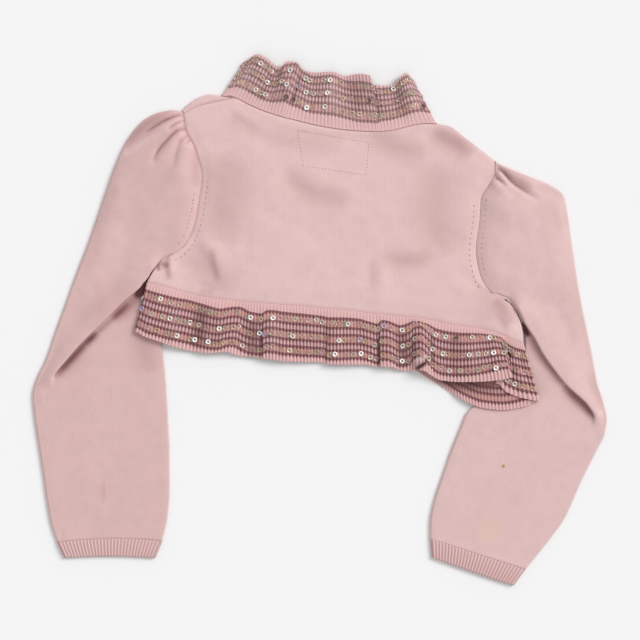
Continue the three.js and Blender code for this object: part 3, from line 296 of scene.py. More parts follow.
# Flutes and folds of the trims, on their upper side
HEM_CREASES = [
    ([(-98, 6), (-100.5, -8), (-103, -25)], 3.6, -1.3),
    ([(-112, 8), (-115, -6), (-118, -22)], 5.0, 0.8),
    ([(-134, 8), (-138, -2), (-141, -12)], 4.0, 0.6),
    ([(-80, 6), (-82, -10), (-84, -27)], 6.0, 0.9),
    ([(-62.5, 6), (-63.5, -12), (-65.5, -29)], 1.8, -0.8),
    ([(-55, 4), (-56, -12), (-57.5, -30)], 5.0, -0.9),
    ([(-46.4, 4), (-46.8, -14), (-47.2, -31)], 1.6, -2.0),
    ([(-38, 4), (-38.5, -14), (-39, -33)], 5.0, 1.1),
    ([(-22, 2), (-22.5, -16), (-22, -34)], 5.0, -0.9),
    ([(-9, 0), (-9, -16), (-8, -34)], 5.0, 0.8),
    ([(4.4, 0), (4.6, -16), (4.4, -35)], 1.7, -1.4),
    ([(14, -2), (14, -18), (14, -36)], 5.0, 0.9),
    ([(30, -4), (30.5, -18), (31, -36)], 5.0, -0.7),
    ([(40, -4), (40.5, -20), (41, -37)], 4.5, 0.6),
    ([(46.8, -7), (47.2, -20), (47.4, -38)], 1.5, -2.2),
    ([(54, -6), (54.4, -20), (54.6, -38)], 3.8, 1.2),
    ([(66, -8), (67, -22), (67.6, -41)], 4.0, -1.1),
    ([(74.4, -10), (74.6, -24), (74.8, -41)], 1.5, -1.8),
    ([(81, -8), (82, -24), (82.6, -42)], 4.6, 1.3),
    ([(88.6, -12), (89.4, -26), (90, -45)], 1.8, -1.6),
    ([(104, -14), (104.6, -30), (105, -49)], 5.0, -1.0),
    ([(118, -14), (120, -30), (122, -50)], 6.0, 0.9),
    ([(134, -16), (136, -32), (137, -49)], 4.0, -0.7),
    ([(152, -28), (158, -44), (164, -60)], 4.0, 0.9),
    ([(158, -30), (165, -46), (171, -61)], 2.2, -0.9),
]
NECK_CREASES = [
    ([(-56, 182), (-50, 196), (-45, 210)], 4.0, 0.9),
    ([(-48, 176), (-41, 190), (-34, 203)], 3.0, -1.2),
    ([(-34, 172), (-28, 188), (-23, 205)], 4.5, 1.0),
    ([(-25, 170), (-19, 186), (-14, 200)], 1.8, -1.5),
    ([(-8, 166), (-5, 182), (-2, 198)], 5.0, -0.7),
    ([(8, 162), (8.6, 180), (9, 198)], 5.0, 0.9),
    ([(23, 162), (22, 178), (21, 195)], 3.6, -1.0),
    ([(37, 160), (34, 178), (33, 196)], 5.0, 1.0),
    ([(48, 160), (45.6, 174), (43, 189)], 1.6, -1.8),
    ([(58, 160), (54, 174), (51, 188)], 4.0, 0.6),
    ([(67, 160), (62, 174), (59, 188)], 3.0, -1.0),
    ([(78, 162), (72, 178), (67, 195)], 4.0, 1.0),
]

# Painted shade where the cloth lies in folds, hollows and shadow, and painted highlight where it is below
# zero: a line, how wide and how strong
BACK_SHADES = [
    ([(-84, 136), (-74, 100), (-80, 60)], 19.0, 0.27),
    ([(-104, 60), (-84, 36), (-66, 24)], 12.0, 0.24),
    ([(92, 128), (92, 92), (104, 50)], 17.0, 0.24),
    ([(36, 146), (62, 139), (86, 131)], 9.0, 0.26),
    ([(48, 52), (68, 47), (92, 50)], 7.0, 0.24),
    ([(-133.4, 42.6), (-137, 35.4), (-141, 27)], 1.5, 1.3),
    ([(-50, 146), (-16, 143), (20, 138)], 7.0, 0.14),
    ([(126, 30), (134, 16), (140, 0)], 9.0, 0.12),
    ([(-87, 58), (-84.6, 44.8), (-81, 30)], 2.8, 0.32),
    ([(-130, 46.6), (-129.2, 42.4), (-128.6, 38.6)], 1.3, 0.95),
    ([(-97, 24.5), (-90, 22.5), (-84, 22)], 3.0, 0.20),
    ([(-122.3, 52), (-121.4, 42), (-120.5, 31.6)], 2.4, 0.55),
    ([(-129.5, 46), (-124, 43.8), (-121.6, 41.4)], 2.2, 0.6),
    ([(-117, 48), (-116, 38)], 3.5, -0.16),
    ([(88, 150), (106, 143), (122, 130)], 8.0, 0.42),
    ([(-72, 162), (-60, 156), (-48, 148)], 8.0, 0.16),
    ([(-30, 120), (-2, 100), (26, 96)], 9.0, 0.24),
    ([(40, 48), (40.5, 34), (39.5, 20)], 4.0, 0.12),
    ([(-50, 160), (-20, 152), (20, 147), (70, 149)], 3.0, 0.12),
    ([(139, 18), (147, 9), (154, -4)], 5.0, 0.36),
    ([(130, 20), (140, 6), (147, -10)], 6.0, 0.10),
    ([(-109.4, 165.4), (-108, 153), (-101, 140), (-94.8, 120)], 1.1, 0.30),
    ([(139.4, 125), (137.4, 113), (128, 96)], 1.0, 0.24),
]
LEFT_SHADES = [
    ([(-116, 166.5), (-131, 160.5), (-142.5, 152.8), (-148, 147), (-156.5, 136)], 4.6, 0.44),
    ([(-110.5, 164.6), (-121.7, 160.2), (-130.3, 155.3), (-139.5, 149)], 1.2, 0.72),
    ([(-136, 146.6), (-147, 138), (-157, 129.6)], 2.4, -0.34),
    ([(-110, 159), (-113.1, 157.6), (-120.3, 152.6)], 1.0, 0.62),
    ([(-108.4, 153), (-115.3, 149.9), (-123.1, 142), (-128.9, 134.9), (-133.4, 126)], 1.2, 0.92),
    ([(-106, 147.4), (-113.1, 140.4)], 1.5, 0.38),
    ([(-103.6, 144.6), (-107, 140)], 0.9, 0.40),
    ([(-112, 140), (-117, 126), (-120, 108)], 4.5, 0.13),
    ([(-112, 155), (-124, 146), (-133, 133)], 2.6, 0.10),
    ([(-101, 138), (-98.6, 122), (-99, 106)], 4.5, 0.26),
    ([(-109.4, 165.4), (-108, 153), (-101, 140), (-94.8, 120)], 1.1, 0.34),
    ([(-147, 30), (-168, 14), (-190, -4)], 12.0, 0.12),
    ([(-178, 100), (-186, 70), (-196, 40)], 9.0, 0.10),
    ([(-150, 96), (-164, 60), (-176, 30)], 10.0, -0.08),
    ([(-190, -60), (-186, -110), (-184, -150)], 14.0, -0.07),
    ([(-160, -70), (-150, -90), (-144, -120)], 10.0, 0.07),
]
RIGHT_SHADES = [
    ([(141, 123.6), (148, 118), (158, 112), (170, 104)], 4.4, 0.46),
    ([(140.4, 122.8), (146, 118), (153.1, 109.8), (160, 105), (170, 98.4)], 1.3, 0.70),
    ([(141.4, 118.4), (147, 113.2), (155, 105.4)], 1.7, -0.26),
    ([(140.4, 114.2), (149.6, 106.3)], 1.4, 0.42),
    ([(172, 108), (186, 103), (195, 96)], 4.0, 0.12),
    ([(139.4, 125), (137.4, 113), (128, 96)], 1.0, 0.26),
    ([(172, 92), (186, 84), (194, 70)], 8.0, 0.10),
    ([(150, 60), (164, 66), (178, 64)], 14.0, -0.07),
    ([(196, 40), (200, 10), (206, -20)], 7.0, 0.10),
    ([(214, -42), (221, -60), (224, -74)], 5.0, 0.18),
    ([(140, -80), (165, -88), (190, -86)], 12.0, 0.07),
]
# Shadow under the tucks, on the lower layer alone
LEFT_TUCK_SHADES = [
    ([(-126, 50), (-133, 40), (-140, 27), (-148, 17)], 5.4, 1.3),
    ([(-138, 32), (-148, 17), (-157, 8), (-167, 0)], 5.4, 0.7),
    ([(-152, 14), (-168, -1), (-179, -11), (-188, -19.6)], 2.6, 0.6),
    ([(-177, -9), (-188, -19.6), (-198.4, -31), (-206, -39), (-212.6, -46.6)], 3.4, 1.05),
    ([(-186, -22), (-200, -37), (-208, -46)], 7.0, 0.16),
    ([(-142, 6), (-140, -20), (-138, -44)], 9.0, 0.22),
]
RIGHT_TUCK_SHADES = [
    ([(147, 15), (153, 10), (159, 3)], 4.0, 0.5),
    ([(159, 3), (164, -8), (170.6, -19.6), (177, -30), (186, -41), (198, -55)], 4.4, 0.62),
    ([(160.6, -1), (164.2, -8), (166.6, -14)], 2.4, 1.0),
    ([(194, -52), (202, -60.4), (209, -66.8), (216, -73.6), (221.4, -80)], 4.2, 0.95),
    ([(180, -40), (170, -56), (154, -70)], 8.0, 0.14),
]
HEM_SHADES = [
    ([(-93, 13), (-95.5, -4), (-98.5, -24)], 6.0, 0.62),
    ([(-53, 2), (-53.5, -12), (-53, -32)], 5.2, 0.56),
    ([(-46.8, -6), (-46.8, -17), (-47, -31)], 1.3, 0.8),
    ([(5, -4), (5.4, -18), (5.2, -36)], 1.8, 0.34),
    ([(46.2, -12), (46.9, -22), (47.2, -38)], 1.4, 0.9),
    ([(66.6, -8), (67, -22), (67.2, -40)], 5.2, 0.6),
    ([(74, -14), (74.4, -26), (74.6, -38)], 1.5, 0.40),
    ([(-81, 6), (-82, -8), (-84, -22)], 5.0, 0.16),
    ([(88, -12), (88.6, -24), (89, -38)], 2.0, 0.6),
    ([(-113, 14), (-116, 0), (-119, -16)], 4.6, -0.05),
    ([(-36, 4), (-37, -12), (-38, -30)], 5.0, -0.05),
    ([(106, -12), (107, -28), (108, -46)], 6.0, 0.16),
    ([(122, -12), (124, -28), (126, -46)], 5.0, -0.04),
    ([(147.4, -19), (149.6, -25), (153, -31)], 2.0, 1.5),
    ([(76, -39.4), (80.6, -36.6), (85.8, -32.6)], 1.5, 1.5),
    ([(74.6, -34), (80, -30.4), (87, -29.6)], 1.6, -0.5),
    ([(-138, 22), (-141, 10), (-146, -6)], 3.0, 0.22),
]
HEM_INSIDE_SHADES = [([(90, -46), (112, -52), (134, -53), (146, -52)], 4.5, 0.75)]
NECK_SHADES = [
    ([(-31, 200), (-29, 186), (-34, 172)], 2.4, 0.34),
    ([(-15.5, 200), (-18, 188), (-22, 176)], 1.5, 0.45),
    ([(30, 198), (32, 184), (36, 168)], 8.0, 0.24),
    ([(42.6, 189), (44.6, 176), (47, 162)], 1.8, 0.60),
    ([(60, 188), (64, 172), (68, 160)], 4.5, 0.22),
    ([(-36, 204), (-42, 190), (-50, 174)], 3.0, 0.30),
    ([(-52, 208), (-58, 192), (-66, 180)], 4.5, -0.10),
    ([(68, 196), (74, 182), (80, 168)], 3.6, -0.10),
    ([(10, 196), (10, 182), (12, 168)], 5.0, -0.10),
]

# Where flutes draw the stripes towards the free edge, or away from it below zero: x and how far
HEM_WAVES = [
    (-150, 0), (-132, 1.4), (-120, 1.1), (-105, 0), (-98, 0.4), (-90, 1.3), (-80, 2.5), (-72, 0.6),
    (-65, -0.7), (-60, 1), (-54.4, 2.7), (-47.4, 3), (-42, 0), (-36, -0.4), (-30, 0.3), (-16, 0.8), (0, 1.2),
    (8, 1.8), (19, 1.2), (30, 0.8), (39, 2), (46, 2.9), (49.6, -0.3), (53, -0.3), (58.5, 1.4), (64, 2.3),
    (71, -0.2), (75, -4), (80, -5.8), (85.5, -3), (92, 0.3), (101, 0.8), (109, 0.6), (120, -0.3),
    (127, -1.5), (135, -3), (140.5, -4.4), (146, -4.4), (148, 0), (165, 0),
]
NECK_WAVES = [
    (-60, 0), (-38, -0.6), (-28, 1.4), (-17, 1), (-10, -0.6), (10, 0), (20, -0.8), (32, -2.8), (44, -3),
    (48, -0.4), (58, 0.4), (70, 0.6), (90, 0),
]

# Sequins that stand out, where they lie: painted glints, softer painted glints and dim ones; the rest are
# dull and half see-through
HEM_GLINTS = [
    (-127.2, 16.8), (-55.4, 2.0), (-37.6, 1.6), (-140.6, 17.4), (-80.5, -6.9), (-114.4, -12.5),
    (-99.8, -15.8), (-89.2, -17.4), (135.5, -14.2), (138.2, -26.1), (140, -38.2), (15.2, -16.4),
    (12, -27.2), (32.8, -26.8), (65.6, -32.8),
]
HEM_SOFT_GLINTS = [
    (22.3, -3.3), (65.5, -8.1), (65.8, -20.8), (92.4, -11.7), (100.3, -13.4), (98, -26.9), (155.2, -51),
    (89.9, -23.3), (-48.4, -10.6), (-21.8, -13), (-65, -5.1), (118.9, -27.8), (-120, 6), (-104, -2),
]
HEM_DIM = [(107.6, -15.6)]
NECK_GLINTS = [(-39, 198.7), (-42.3, 189.8), (-10.7, 169.8), (5.8, 181.2), (8, 191.4)]
NECK_SOFT_GLINTS = [
    (-47.4, 204.7), (-23.8, 199.1), (-26.7, 188.1), (-11.3, 181.9), (-51.4, 183.8), (-43.8, 180.2),
    (4, 170.3), (58.7, 184.7), (-11.5, 193),
]
NECK_DIM = [(-28.7, 175.8), (-22.2, 174.1), (35, 175.2), (79.4, 170.2)]

SEQUIN = 4.2  # across
SEQUIN_HOLE = 1.1
SEQUIN_SIDES = 12
SEQUIN_STEP = 6.4  # from one to the next, on average
SEQUIN_STEPS = ((0.72, 0.16), (0.95, 0.26), (1.0, 0.26), (1.1, 0.2), (1.35, 0.12))  # shares of it, their odds
# Dark stripes, as shares from the seam to the edge
HEM_DARK = (0.14, 0.307, 0.432, 0.588, 0.708, 0.855)
NECK_DARK = (0.25, 0.43, 0.55, 0.67, 0.78, 0.915)


def columns(names, rows):
    """A table's columns by name."""
    return dict(zip(names.split(), np.array(rows, float).T))


def ease(t):
    """0 below 0, 1 above 1 and smooth between them."""
    t = np.clip(t, 0, 1)
    return t * t * (3 - 2 * t)


def unit(vectors):
    """Vectors made one long."""
    return vectors / np.linalg.norm(vectors, axis=-1, keepdims=True)


def run_lengths(points):
    """How far along a line of points each one lies."""
    return np.concatenate([[0], np.cumsum(np.linalg.norm(np.diff(points, axis=0), axis=1))])


def smooth_line(places, values):
    """A smooth line through values that stays between the two that it passes between."""
    places, values = np.asarray(places, float), np.asarray(values, float)
    gaps = np.diff(places)
    slopes = np.diff(values) / gaps
    before, after = slopes[:-1], slopes[1:]
    same = before * after > 0
    between = np.where(same, 2 * before * after / np.where(same, before + after, 1), 0)
    tangents = np.concatenate([slopes[:1], between, slopes[-1:]])

    def at(place):
        i = np.clip(np.searchsorted(places, place, side="right") - 1, 0, len(gaps) - 1)
        t = (place - places[i]) / gaps[i]
        rise = (values[i + 1] - values[i]) * t * t * (3 - 2 * t)
        return values[i] + rise + gaps[i] * t * (1 - t) * (tangents[i] * (1 - t) - tangents[i + 1] * t)

    return at


def smooth_path(points):
    """A smooth path through points, read at shares of its length."""
    points = np.asarray(points, float)
    lengths = run_lengths(points)
    lines = [smooth_line(lengths, column) for column in points.T]

    def at(share):
        place = np.asarray(share, float) * lengths[-1]
        return np.stack([line(place) for line in lines], axis=-1)

    return at


def chain(paths, ends):
    """Joins paths end to end; ends are the shares where each one ends."""
    starts = [0, *ends[:-1]]

    def at(share):
        share = np.asarray(share, float)
        out = np.empty((*share.shape, 2))
        which = np.minimum(np.searchsorted(ends, share), len(paths) - 1)
        for i, path in enumerate(paths):
            mine = which == i
            out[mine] = path((share[mine] - starts[i]) / (ends[i] - starts[i]))
        return out

    return at


class TrimSurface:
    """A trim's table as one smooth surface: along it in millimetres, across it from 0 at the seam to 1."""

    def __init__(self, rows):
        names = TRIM_COLUMNS.split()
        table = [dict(zip(names, row)) for row in rows]
        lines, first_lines = [], []
        for index, row in enumerate(table):
            later = table[min(index + 1, len(table) - 1)]
            earlier = table[max(index - 1, 0)]
            first_lines.append(len(lines))
            if row["st"] == 0 and row["et"] == 0:
                lines.append(row)
                continue
            for share in np.linspace(0, 1, TURN_STEPS + 1):
                line = dict(row)
                for side in "se":
                    end = self.swing(row, earlier, later, side, row[side + "t"], share)
                    line.update(zip((side + "x", side + "y", side + "z"), end))
                line["shown"] = earlier["shown"] if share < 0.5 else later["shown"]
                lines.append(line)
        ends = [np.array([[line[side + axis] for axis in "xyz"] for line in lines]) for side in "se"]
        lengths = (run_lengths(ends[0]) + run_lengths(ends[1])) / 2
        self.length = lengths[-1]
        self.column = {name: smooth_line(lengths, [line[name] for line in lines]) for name in names}
        folds = [place for place, line in zip(lengths, lines) if line["st"] != 0]
        self.side_folds = (folds[: TURN_STEPS + 1], folds[-TURN_STEPS - 1:])
        self.row_places = [lengths[line] for line in first_lines]

    @staticmethod
    def swing(row, earlier, later, side, height, share):
        """One end of a turned row, swung round half a circle of that height."""
        here, before, after = (np.array([r[side + axis] for axis in "xyz"]) for r in (row, earlier, later))
        if height == 0:
            return here + (after - here) * share / 2
        away = unit((here - before)[:2])
        angle = math.pi * (share - 0.5)
        reach = abs(height) / 2 * math.cos(angle)
        return [*(here[:2] + away * reach), here[2] + height * (1 + math.sin(angle)) / 2]

    def point(self, along, across):
        """The surface's points in space."""
        value = {name: self.column[name](along) for name in self.column}
        ends = [np.stack([value[side + axis] for axis in "xyz"], axis=-1) for side in "se"]
        across = np.asarray(across, float)
        out = ends[0] + (ends[1] - ends[0]) * across[..., None]
        out[..., 2] += value["bow"] * 4 * across * (1 - across)
        return out

    def shown(self, along):
        """Where the trim's face lies up."""
        return self.column["shown"](along) > 0.5


neck_surface = TrimSurface(NECK_TRIM)
hem_surface = TrimSurface(HEM_TRIM)


def ripples(x, y, size, count, seed):
    """Soft uneven waves of about that size, from -1 to 1."""
    rng = np.random.default_rng(seed)
    total = np.zeros_like(x)
    for _ in range(count):
        angle = rng.uniform(0, math.tau)
        wave = math.tau / (size * rng.uniform(0.7, 1.5))
        total += np.sin((x * math.cos(angle) + y * math.sin(angle)) * wave + rng.uniform(0, math.tau))
    return total / count ** 0.5 / 1.6


def unevenness(x, y, waves, seed):
    """The cloth's own soft waves, large and small ones."""
    return sum(
        height * ripples(x, y, size, count, seed + index)
        for index, (height, size, count) in enumerate(waves))


def swell_out(share):
    """A crease is highest in its middle."""
    return math.sin(math.pi * (0.12 + 0.84 * share))


def run_out(share):
    """A gather is highest where it starts."""
    return (1 - share) ** 0.7


def even_out(share):
    """A shade is as strong all along, but for its ends."""
    return 1 - abs(2 * share - 1) ** 4


CREASE_STEPS = 40


def crease_heights(creases, x, y, fading=swell_out):
    """How high the creases lift or lower the cloth at each place, or how dark strokes of shade are there."""
    heights = np.zeros_like(x)
    for line, width, height in creases:
        shares = np.linspace(0, 1, CREASE_STEPS)
        points = smooth_path(line)(shares)
        near = np.full(x.shape, np.inf)
        fade = np.zeros_like(x)
        for (px, py), share in zip(points, shares):
            gap = (x - px) ** 2 + (y - py) ** 2
            closer = gap < near
            near = np.where(closer, gap, near)
            fade = np.where(closer, fading(share), fade)
        heights += height * fade * np.exp(-near / width ** 2)
    return heights


def grid_normals(points, around=False):
    """Normals of a grid of points; around says that its second direction closes on itself."""
    if around:
        padded = np.concatenate([points[:, -1:], points, points[:, :1]], axis=1)
        across = (padded[:, 2:] - padded[:, :-2]) / 2
    else:
        across = np.gradient(points, axis=1)
    normals = np.cross(np.gradient(points, axis=0), across)
    return normals / np.maximum(np.linalg.norm(normals, axis=-1, keepdims=True), 1e-9)


def cloth_wall(name, points, uvs, relief=0.0, around=False, flip=False, shade=0.0):
    """A closed wall of knit round a grid of points on its middle. relief lifts its face and its inside.

    The face is on the side that the first direction crossed with the second gives, or on the other one with
    flip. uvs has one column more than points where around joins the last column to the first. shade is the
    painted shade at each point, and below zero the painted highlight."""
    rows, cols = points.shape[:2]
    normals = grid_normals(points, around) * (-1 if flip else 1)
    relief = np.broadcast_to(relief, (rows, cols))[..., None]
    face = points + normals * (relief + KNIT / 2)
    inside = points + normals * (relief - KNIT / 2)
    vertices = np.concatenate([face.reshape(-1, 3), inside.reshape(-1, 3)])
    vertices[:, 2] = np.maximum(vertices[:, 2], 0)
    i, j = np.meshgrid(np.arange(rows - 1), np.arange(cols if around else cols - 1), indexing="ij")
    i, j = i.ravel(), j.ravel()
    corners = [(i, j), (i + 1, j), (i + 1, j + 1), (i, j + 1)]
    quads = np.stack([a * cols + b % cols for a, b in corners], axis=-1)
    corner_uvs = np.stack([uvs[a, b] for a, b in corners], axis=1)
    if flip:
        quads, corner_uvs = quads[:, ::-1], corner_uvs[:, ::-1]
    shift = rows * cols
    faces = [quads, quads[:, ::-1] + shift]
    face_uvs = [corner_uvs, corner_uvs[:, ::-1]]

    def add_rim(i, j, next_i, next_j, turned):
        """Closes the wall between neighbours on the grid's border."""
        a, b = i * cols + j % cols, next_i * cols + next_j % cols
        rim = np.stack([a, b, b + shift, a + shift], axis=-1)
        rim_uv = np.stack([uvs[i, j], uvs[next_i, next_j], uvs[next_i, next_j], uvs[i, j]], axis=1)
        faces.append(rim if turned else rim[:, ::-1])
        face_uvs.append(rim_uv if turned else rim_uv[:, ::-1])

    along = np.arange(cols if around else cols - 1)
    for row, last in ((0, False), (rows - 1, True)):
        add_rim(row, along, row, along + 1, last == flip)
    if not around:
        along = np.arange(rows - 1)
        for col, last in ((0, False), (cols - 1, True)):
            add_rim(along, col, along + 1, col, last != flip)
    piece = make_piece(name, vertices * MM, np.concatenate(faces), np.concatenate(face_uvs))
    shades = np.broadcast_to(shade, (rows, cols)).ravel()
    layer = piece.data.attributes.new("shade", "FLOAT", "POINT")
    layer.data.foreach_set("value", np.concatenate([shades, shades]).astype(np.float32))
    return piece


def make_piece(name, vertices, faces, uvs=None):
    """A smooth mesh object from arrays; uvs has one pair for each corner of each face."""
    mesh = bpy.data.meshes.new(name)
    count, sides = faces.shape
    mesh.vertices.add(len(vertices))
    mesh.vertices.foreach_set("co", vertices.astype(np.float32).ravel())
    mesh.loops.add(count * sides)
    mesh.loops.foreach_set("vertex_index", faces.astype(np.int32).ravel())
    mesh.polygons.add(count)
    mesh.polygons.foreach_set("loop_start", np.arange(0, count * sides, sides, dtype=np.int32))
    mesh.polygons.foreach_set("use_smooth", np.ones(count, dtype=bool))
    if uvs is not None:
        layer = mesh.uv_layers.new(name="knit")
        layer.data.foreach_set("uv", uvs.astype(np.float32).ravel())
    mesh.update(calc_edges=True)
    mesh.validate()
    piece = bpy.data.objects.new(name, mesh)
    bpy.context.scene.collection.objects.link(piece)
    return piece


def lengths_along(points, axis):
    """How far each point of a grid lies along it, in millimetres."""
    steps = np.linalg.norm(np.diff(points, axis=axis), axis=-1)
    zero = np.zeros_like(np.take(steps, [0], axis=axis))
    return np.concatenate([zero, np.cumsum(steps, axis=axis)], axis=axis)


# Body panels

HEM_DEPTH = 44
NECK_DEPTH = 40
HIDDEN_NECK_DEPTH = 15
HEM_LIFT_REACH = 0.22  # share of a panel's height over which it comes down or up to the hem's height
SEAM_SHARE = 0.24  # how far round its fold a trim's seam goes over to the next panel
ARMPIT_LEFT = 0.16  # share of a panel's side edge that lies under the armpit
ARMPIT_RIGHT = 0.26
ARMPIT_FADE = 0.4
SEAM_ROLL = 2.2  # how far from a seam the cloth starts to dip into it
SEAM_DIP = 0.55
BACK_SWELL = 0.75
BACK_SWELL_REACH = 14
BACK_CREASE_REACH = 5
BACK_SINK = 0.7  # how far the back may sink at most
EDGE_PLACES = (0, 0.12, 0.3, 0.6, 1.0, 1.5, 2.2, 3.2)
EVEN_FROM = 4  # the even steps start that far from an edge


def seam_stretch(surface, start, end, depth, dims=3):
    """A stretch of a trim's seam, just outside the trim."""
    outside = -PANEL_SHARE * SEAM_GAP / depth
    return lambda share: surface.point(
        start + (end - start) * np.asarray(share, float), np.full(np.shape(share), outside))[..., :dims]


def straight(start, end):
    """A straight path."""
    return lambda share: start + (end - start) * np.asarray(share, float)[..., None]


def edge_drop(distance):
    """How far a folded edge has turned down that far inside it."""
    inside = np.sqrt(np.maximum(TURN ** 2 - (TURN - np.minimum(distance, TURN)) ** 2, 0))
    return np.where(distance >= TURN, 0, TURN - inside)


def edge_places(count, length, kinks=()):
    """Shares of a length, close together at both ends."""
    close = np.array(EDGE_PLACES) / length
    even = np.linspace(0, 1, count)
    even = even[(even > EVEN_FROM / length) & (even < 1 - EVEN_FROM / length)]
    return np.unique(np.concatenate([close, even, 1 - close, kinks]))


def panel_grid(hem, top, left, right, us, vs):
    """A Coons patch in plan between four boundaries; the hem gives the height there, which fades upwards."""
    u, v = np.meshgrid(us, vs, indexing="ij")
    bottom, upper, near, far = hem(us), top(us), left(vs), right(vs)
    across = bottom[:, None, :2] * (1 - v)[..., None] + upper[:, None] * v[..., None]
    across += near[None] * (1 - u)[..., None] + far[None] * u[..., None]
    c00, c10, c01, c11 = bottom[0, :2], bottom[-1, :2], upper[0], upper[-1]
    bilinear = (c00 * (1 - u)[..., None] + c10 * u[..., None]) * (1 - v)[..., None]
    bilinear = bilinear + (c01 * (1 - u)[..., None] + c11 * u[..., None]) * v[..., None]
    return across - bilinear, bottom[:, 2], u, v


def panel(name, shape, level, up, size, turned, counts, creases=(), shades=(), seed=0):
    """One body panel as a wall, about size wide and high, with counts steps.

    turned says of its left and right edges whether, and of its shoulder edge where, they turn up or down to
    the other layer. Only the back, which lies on top, swells and creases."""
    us = edge_places(counts[0], size[0])
    vs = edge_places(counts[1], size[1], [ARMPIT_LEFT, ARMPIT_RIGHT])
    plan, hem_height, u, v = panel_grid(*shape, us, vs)
    near, far = u * size[0], (1 - u) * size[0]
    left_drop = edge_drop(near) if turned[0] else 0 * u
    right_drop = edge_drop(far) if turned[1] else 0 * u
    side = left_drop * ease((ARMPIT_LEFT - v) / (ARMPIT_LEFT * ARMPIT_FADE))
    side += right_drop * ease((ARMPIT_RIGHT - v) / (ARMPIT_RIGHT * ARMPIT_FADE))
    shoulder = np.where(turned[2](u), edge_drop((1 - v) * size[1]), 0)
    lift = hem_height[:, None] - level - up * (left_drop + right_drop)
    z = level + lift * ease(1 - v / HEM_LIFT_REACH) + up * (side + shoulder)
    x, y = plan[..., 0], plan[..., 1]
    if level == BACK_LEVEL:
        inner = np.minimum(np.minimum(near, far), np.minimum(v, 1 - v) * size[1])
        z += ease(inner / BACK_SWELL_REACH) * (BACK_SWELL + unevenness(x, y, BACK_WAVES, seed))
        z += ease(inner / BACK_CREASE_REACH) * crease_heights(creases, x, y)
        seam = np.minimum(np.minimum(near, far), (1 - v) * size[1])
        z -= SEAM_DIP * ease(1 - seam / SEAM_ROLL) * (v > ARMPIT_LEFT)
        z -= SEAM_DIP * ease(1 - v * size[1] / SEAM_ROLL)
        z = np.maximum(z, level - BACK_SINK)
    points = np.dstack([x, y, z])
    shade = crease_heights(shades, x, y, even_out)
    return cloth_wall(name, points, np.dstack([x, y]), shade=shade), points


def side_edge(corner, side, armhole, top, armpit):
    """A panel's side edge, from its corner at the hem over the armpit to the top of the armhole."""
    return chain([smooth_path([corner[:2], *side[::-1]]), smooth_path([*armhole[:0:-1], top])], [armpit, 1])


left_hem_fold, right_hem_fold = hem_surface.side_folds
left_neck_fold, right_neck_fold = neck_surface.side_folds


def before_fold(fold):
    """Where a seam lies just before a trim's fold."""
    return fold[1] + (fold[2] - fold[1]) * (1 - SEAM_SHARE)


def after_fold(fold):
    """Where a seam lies just after a trim's fold."""
    return fold[2] + (fold[3] - fold[2]) * SEAM_SHARE


LEFT_NECK_SHARE = 0.2  # shares of the back's top edge where the neck starts and ends
RIGHT_NECK_SHARE = 0.8
FRONT_SHOULDER_SHARE = 0.4
BACK_NECK_ROW = 7  # the row of the neck's table where the back's seam starts
FLAP_STEPS = 13


def make_back():
    """The back panel, which lies on top."""
    hem = seam_stretch(hem_surface, after_fold(left_hem_fold), before_fold(right_hem_fold), HEM_DEPTH)
    neck_from = neck_surface.row_places[BACK_NECK_ROW]
    neck = seam_stretch(neck_surface, neck_from, before_fold(right_neck_fold), NECK_DEPTH, dims=2)
    left_shoulder = smooth_path([*LEFT_SHOULDER_SEAM, neck(0.0)])
    right_shoulder = smooth_path([neck(1.0), *RIGHT_SHOULDER[::-1]])
    top = chain([left_shoulder, neck, right_shoulder], [LEFT_NECK_SHARE, RIGHT_NECK_SHARE, 1])
    left = side_edge(hem(0.0), LEFT_SIDE, LEFT_ARMHOLE, left_shoulder(0.0), ARMPIT_LEFT)
    right = side_edge(hem(1.0), RIGHT_SIDE, RIGHT_ARMHOLE, right_shoulder(1.0), ARMPIT_RIGHT)
    turned = (True, True, lambda u: u > RIGHT_NECK_SHARE)
    shape = (hem, top, left, right)
    return panel(
        "back_panel", shape, BACK_LEVEL, -1, (270, 140), turned, (210, 120), BACK_CREASES, BACK_SHADES, 11)


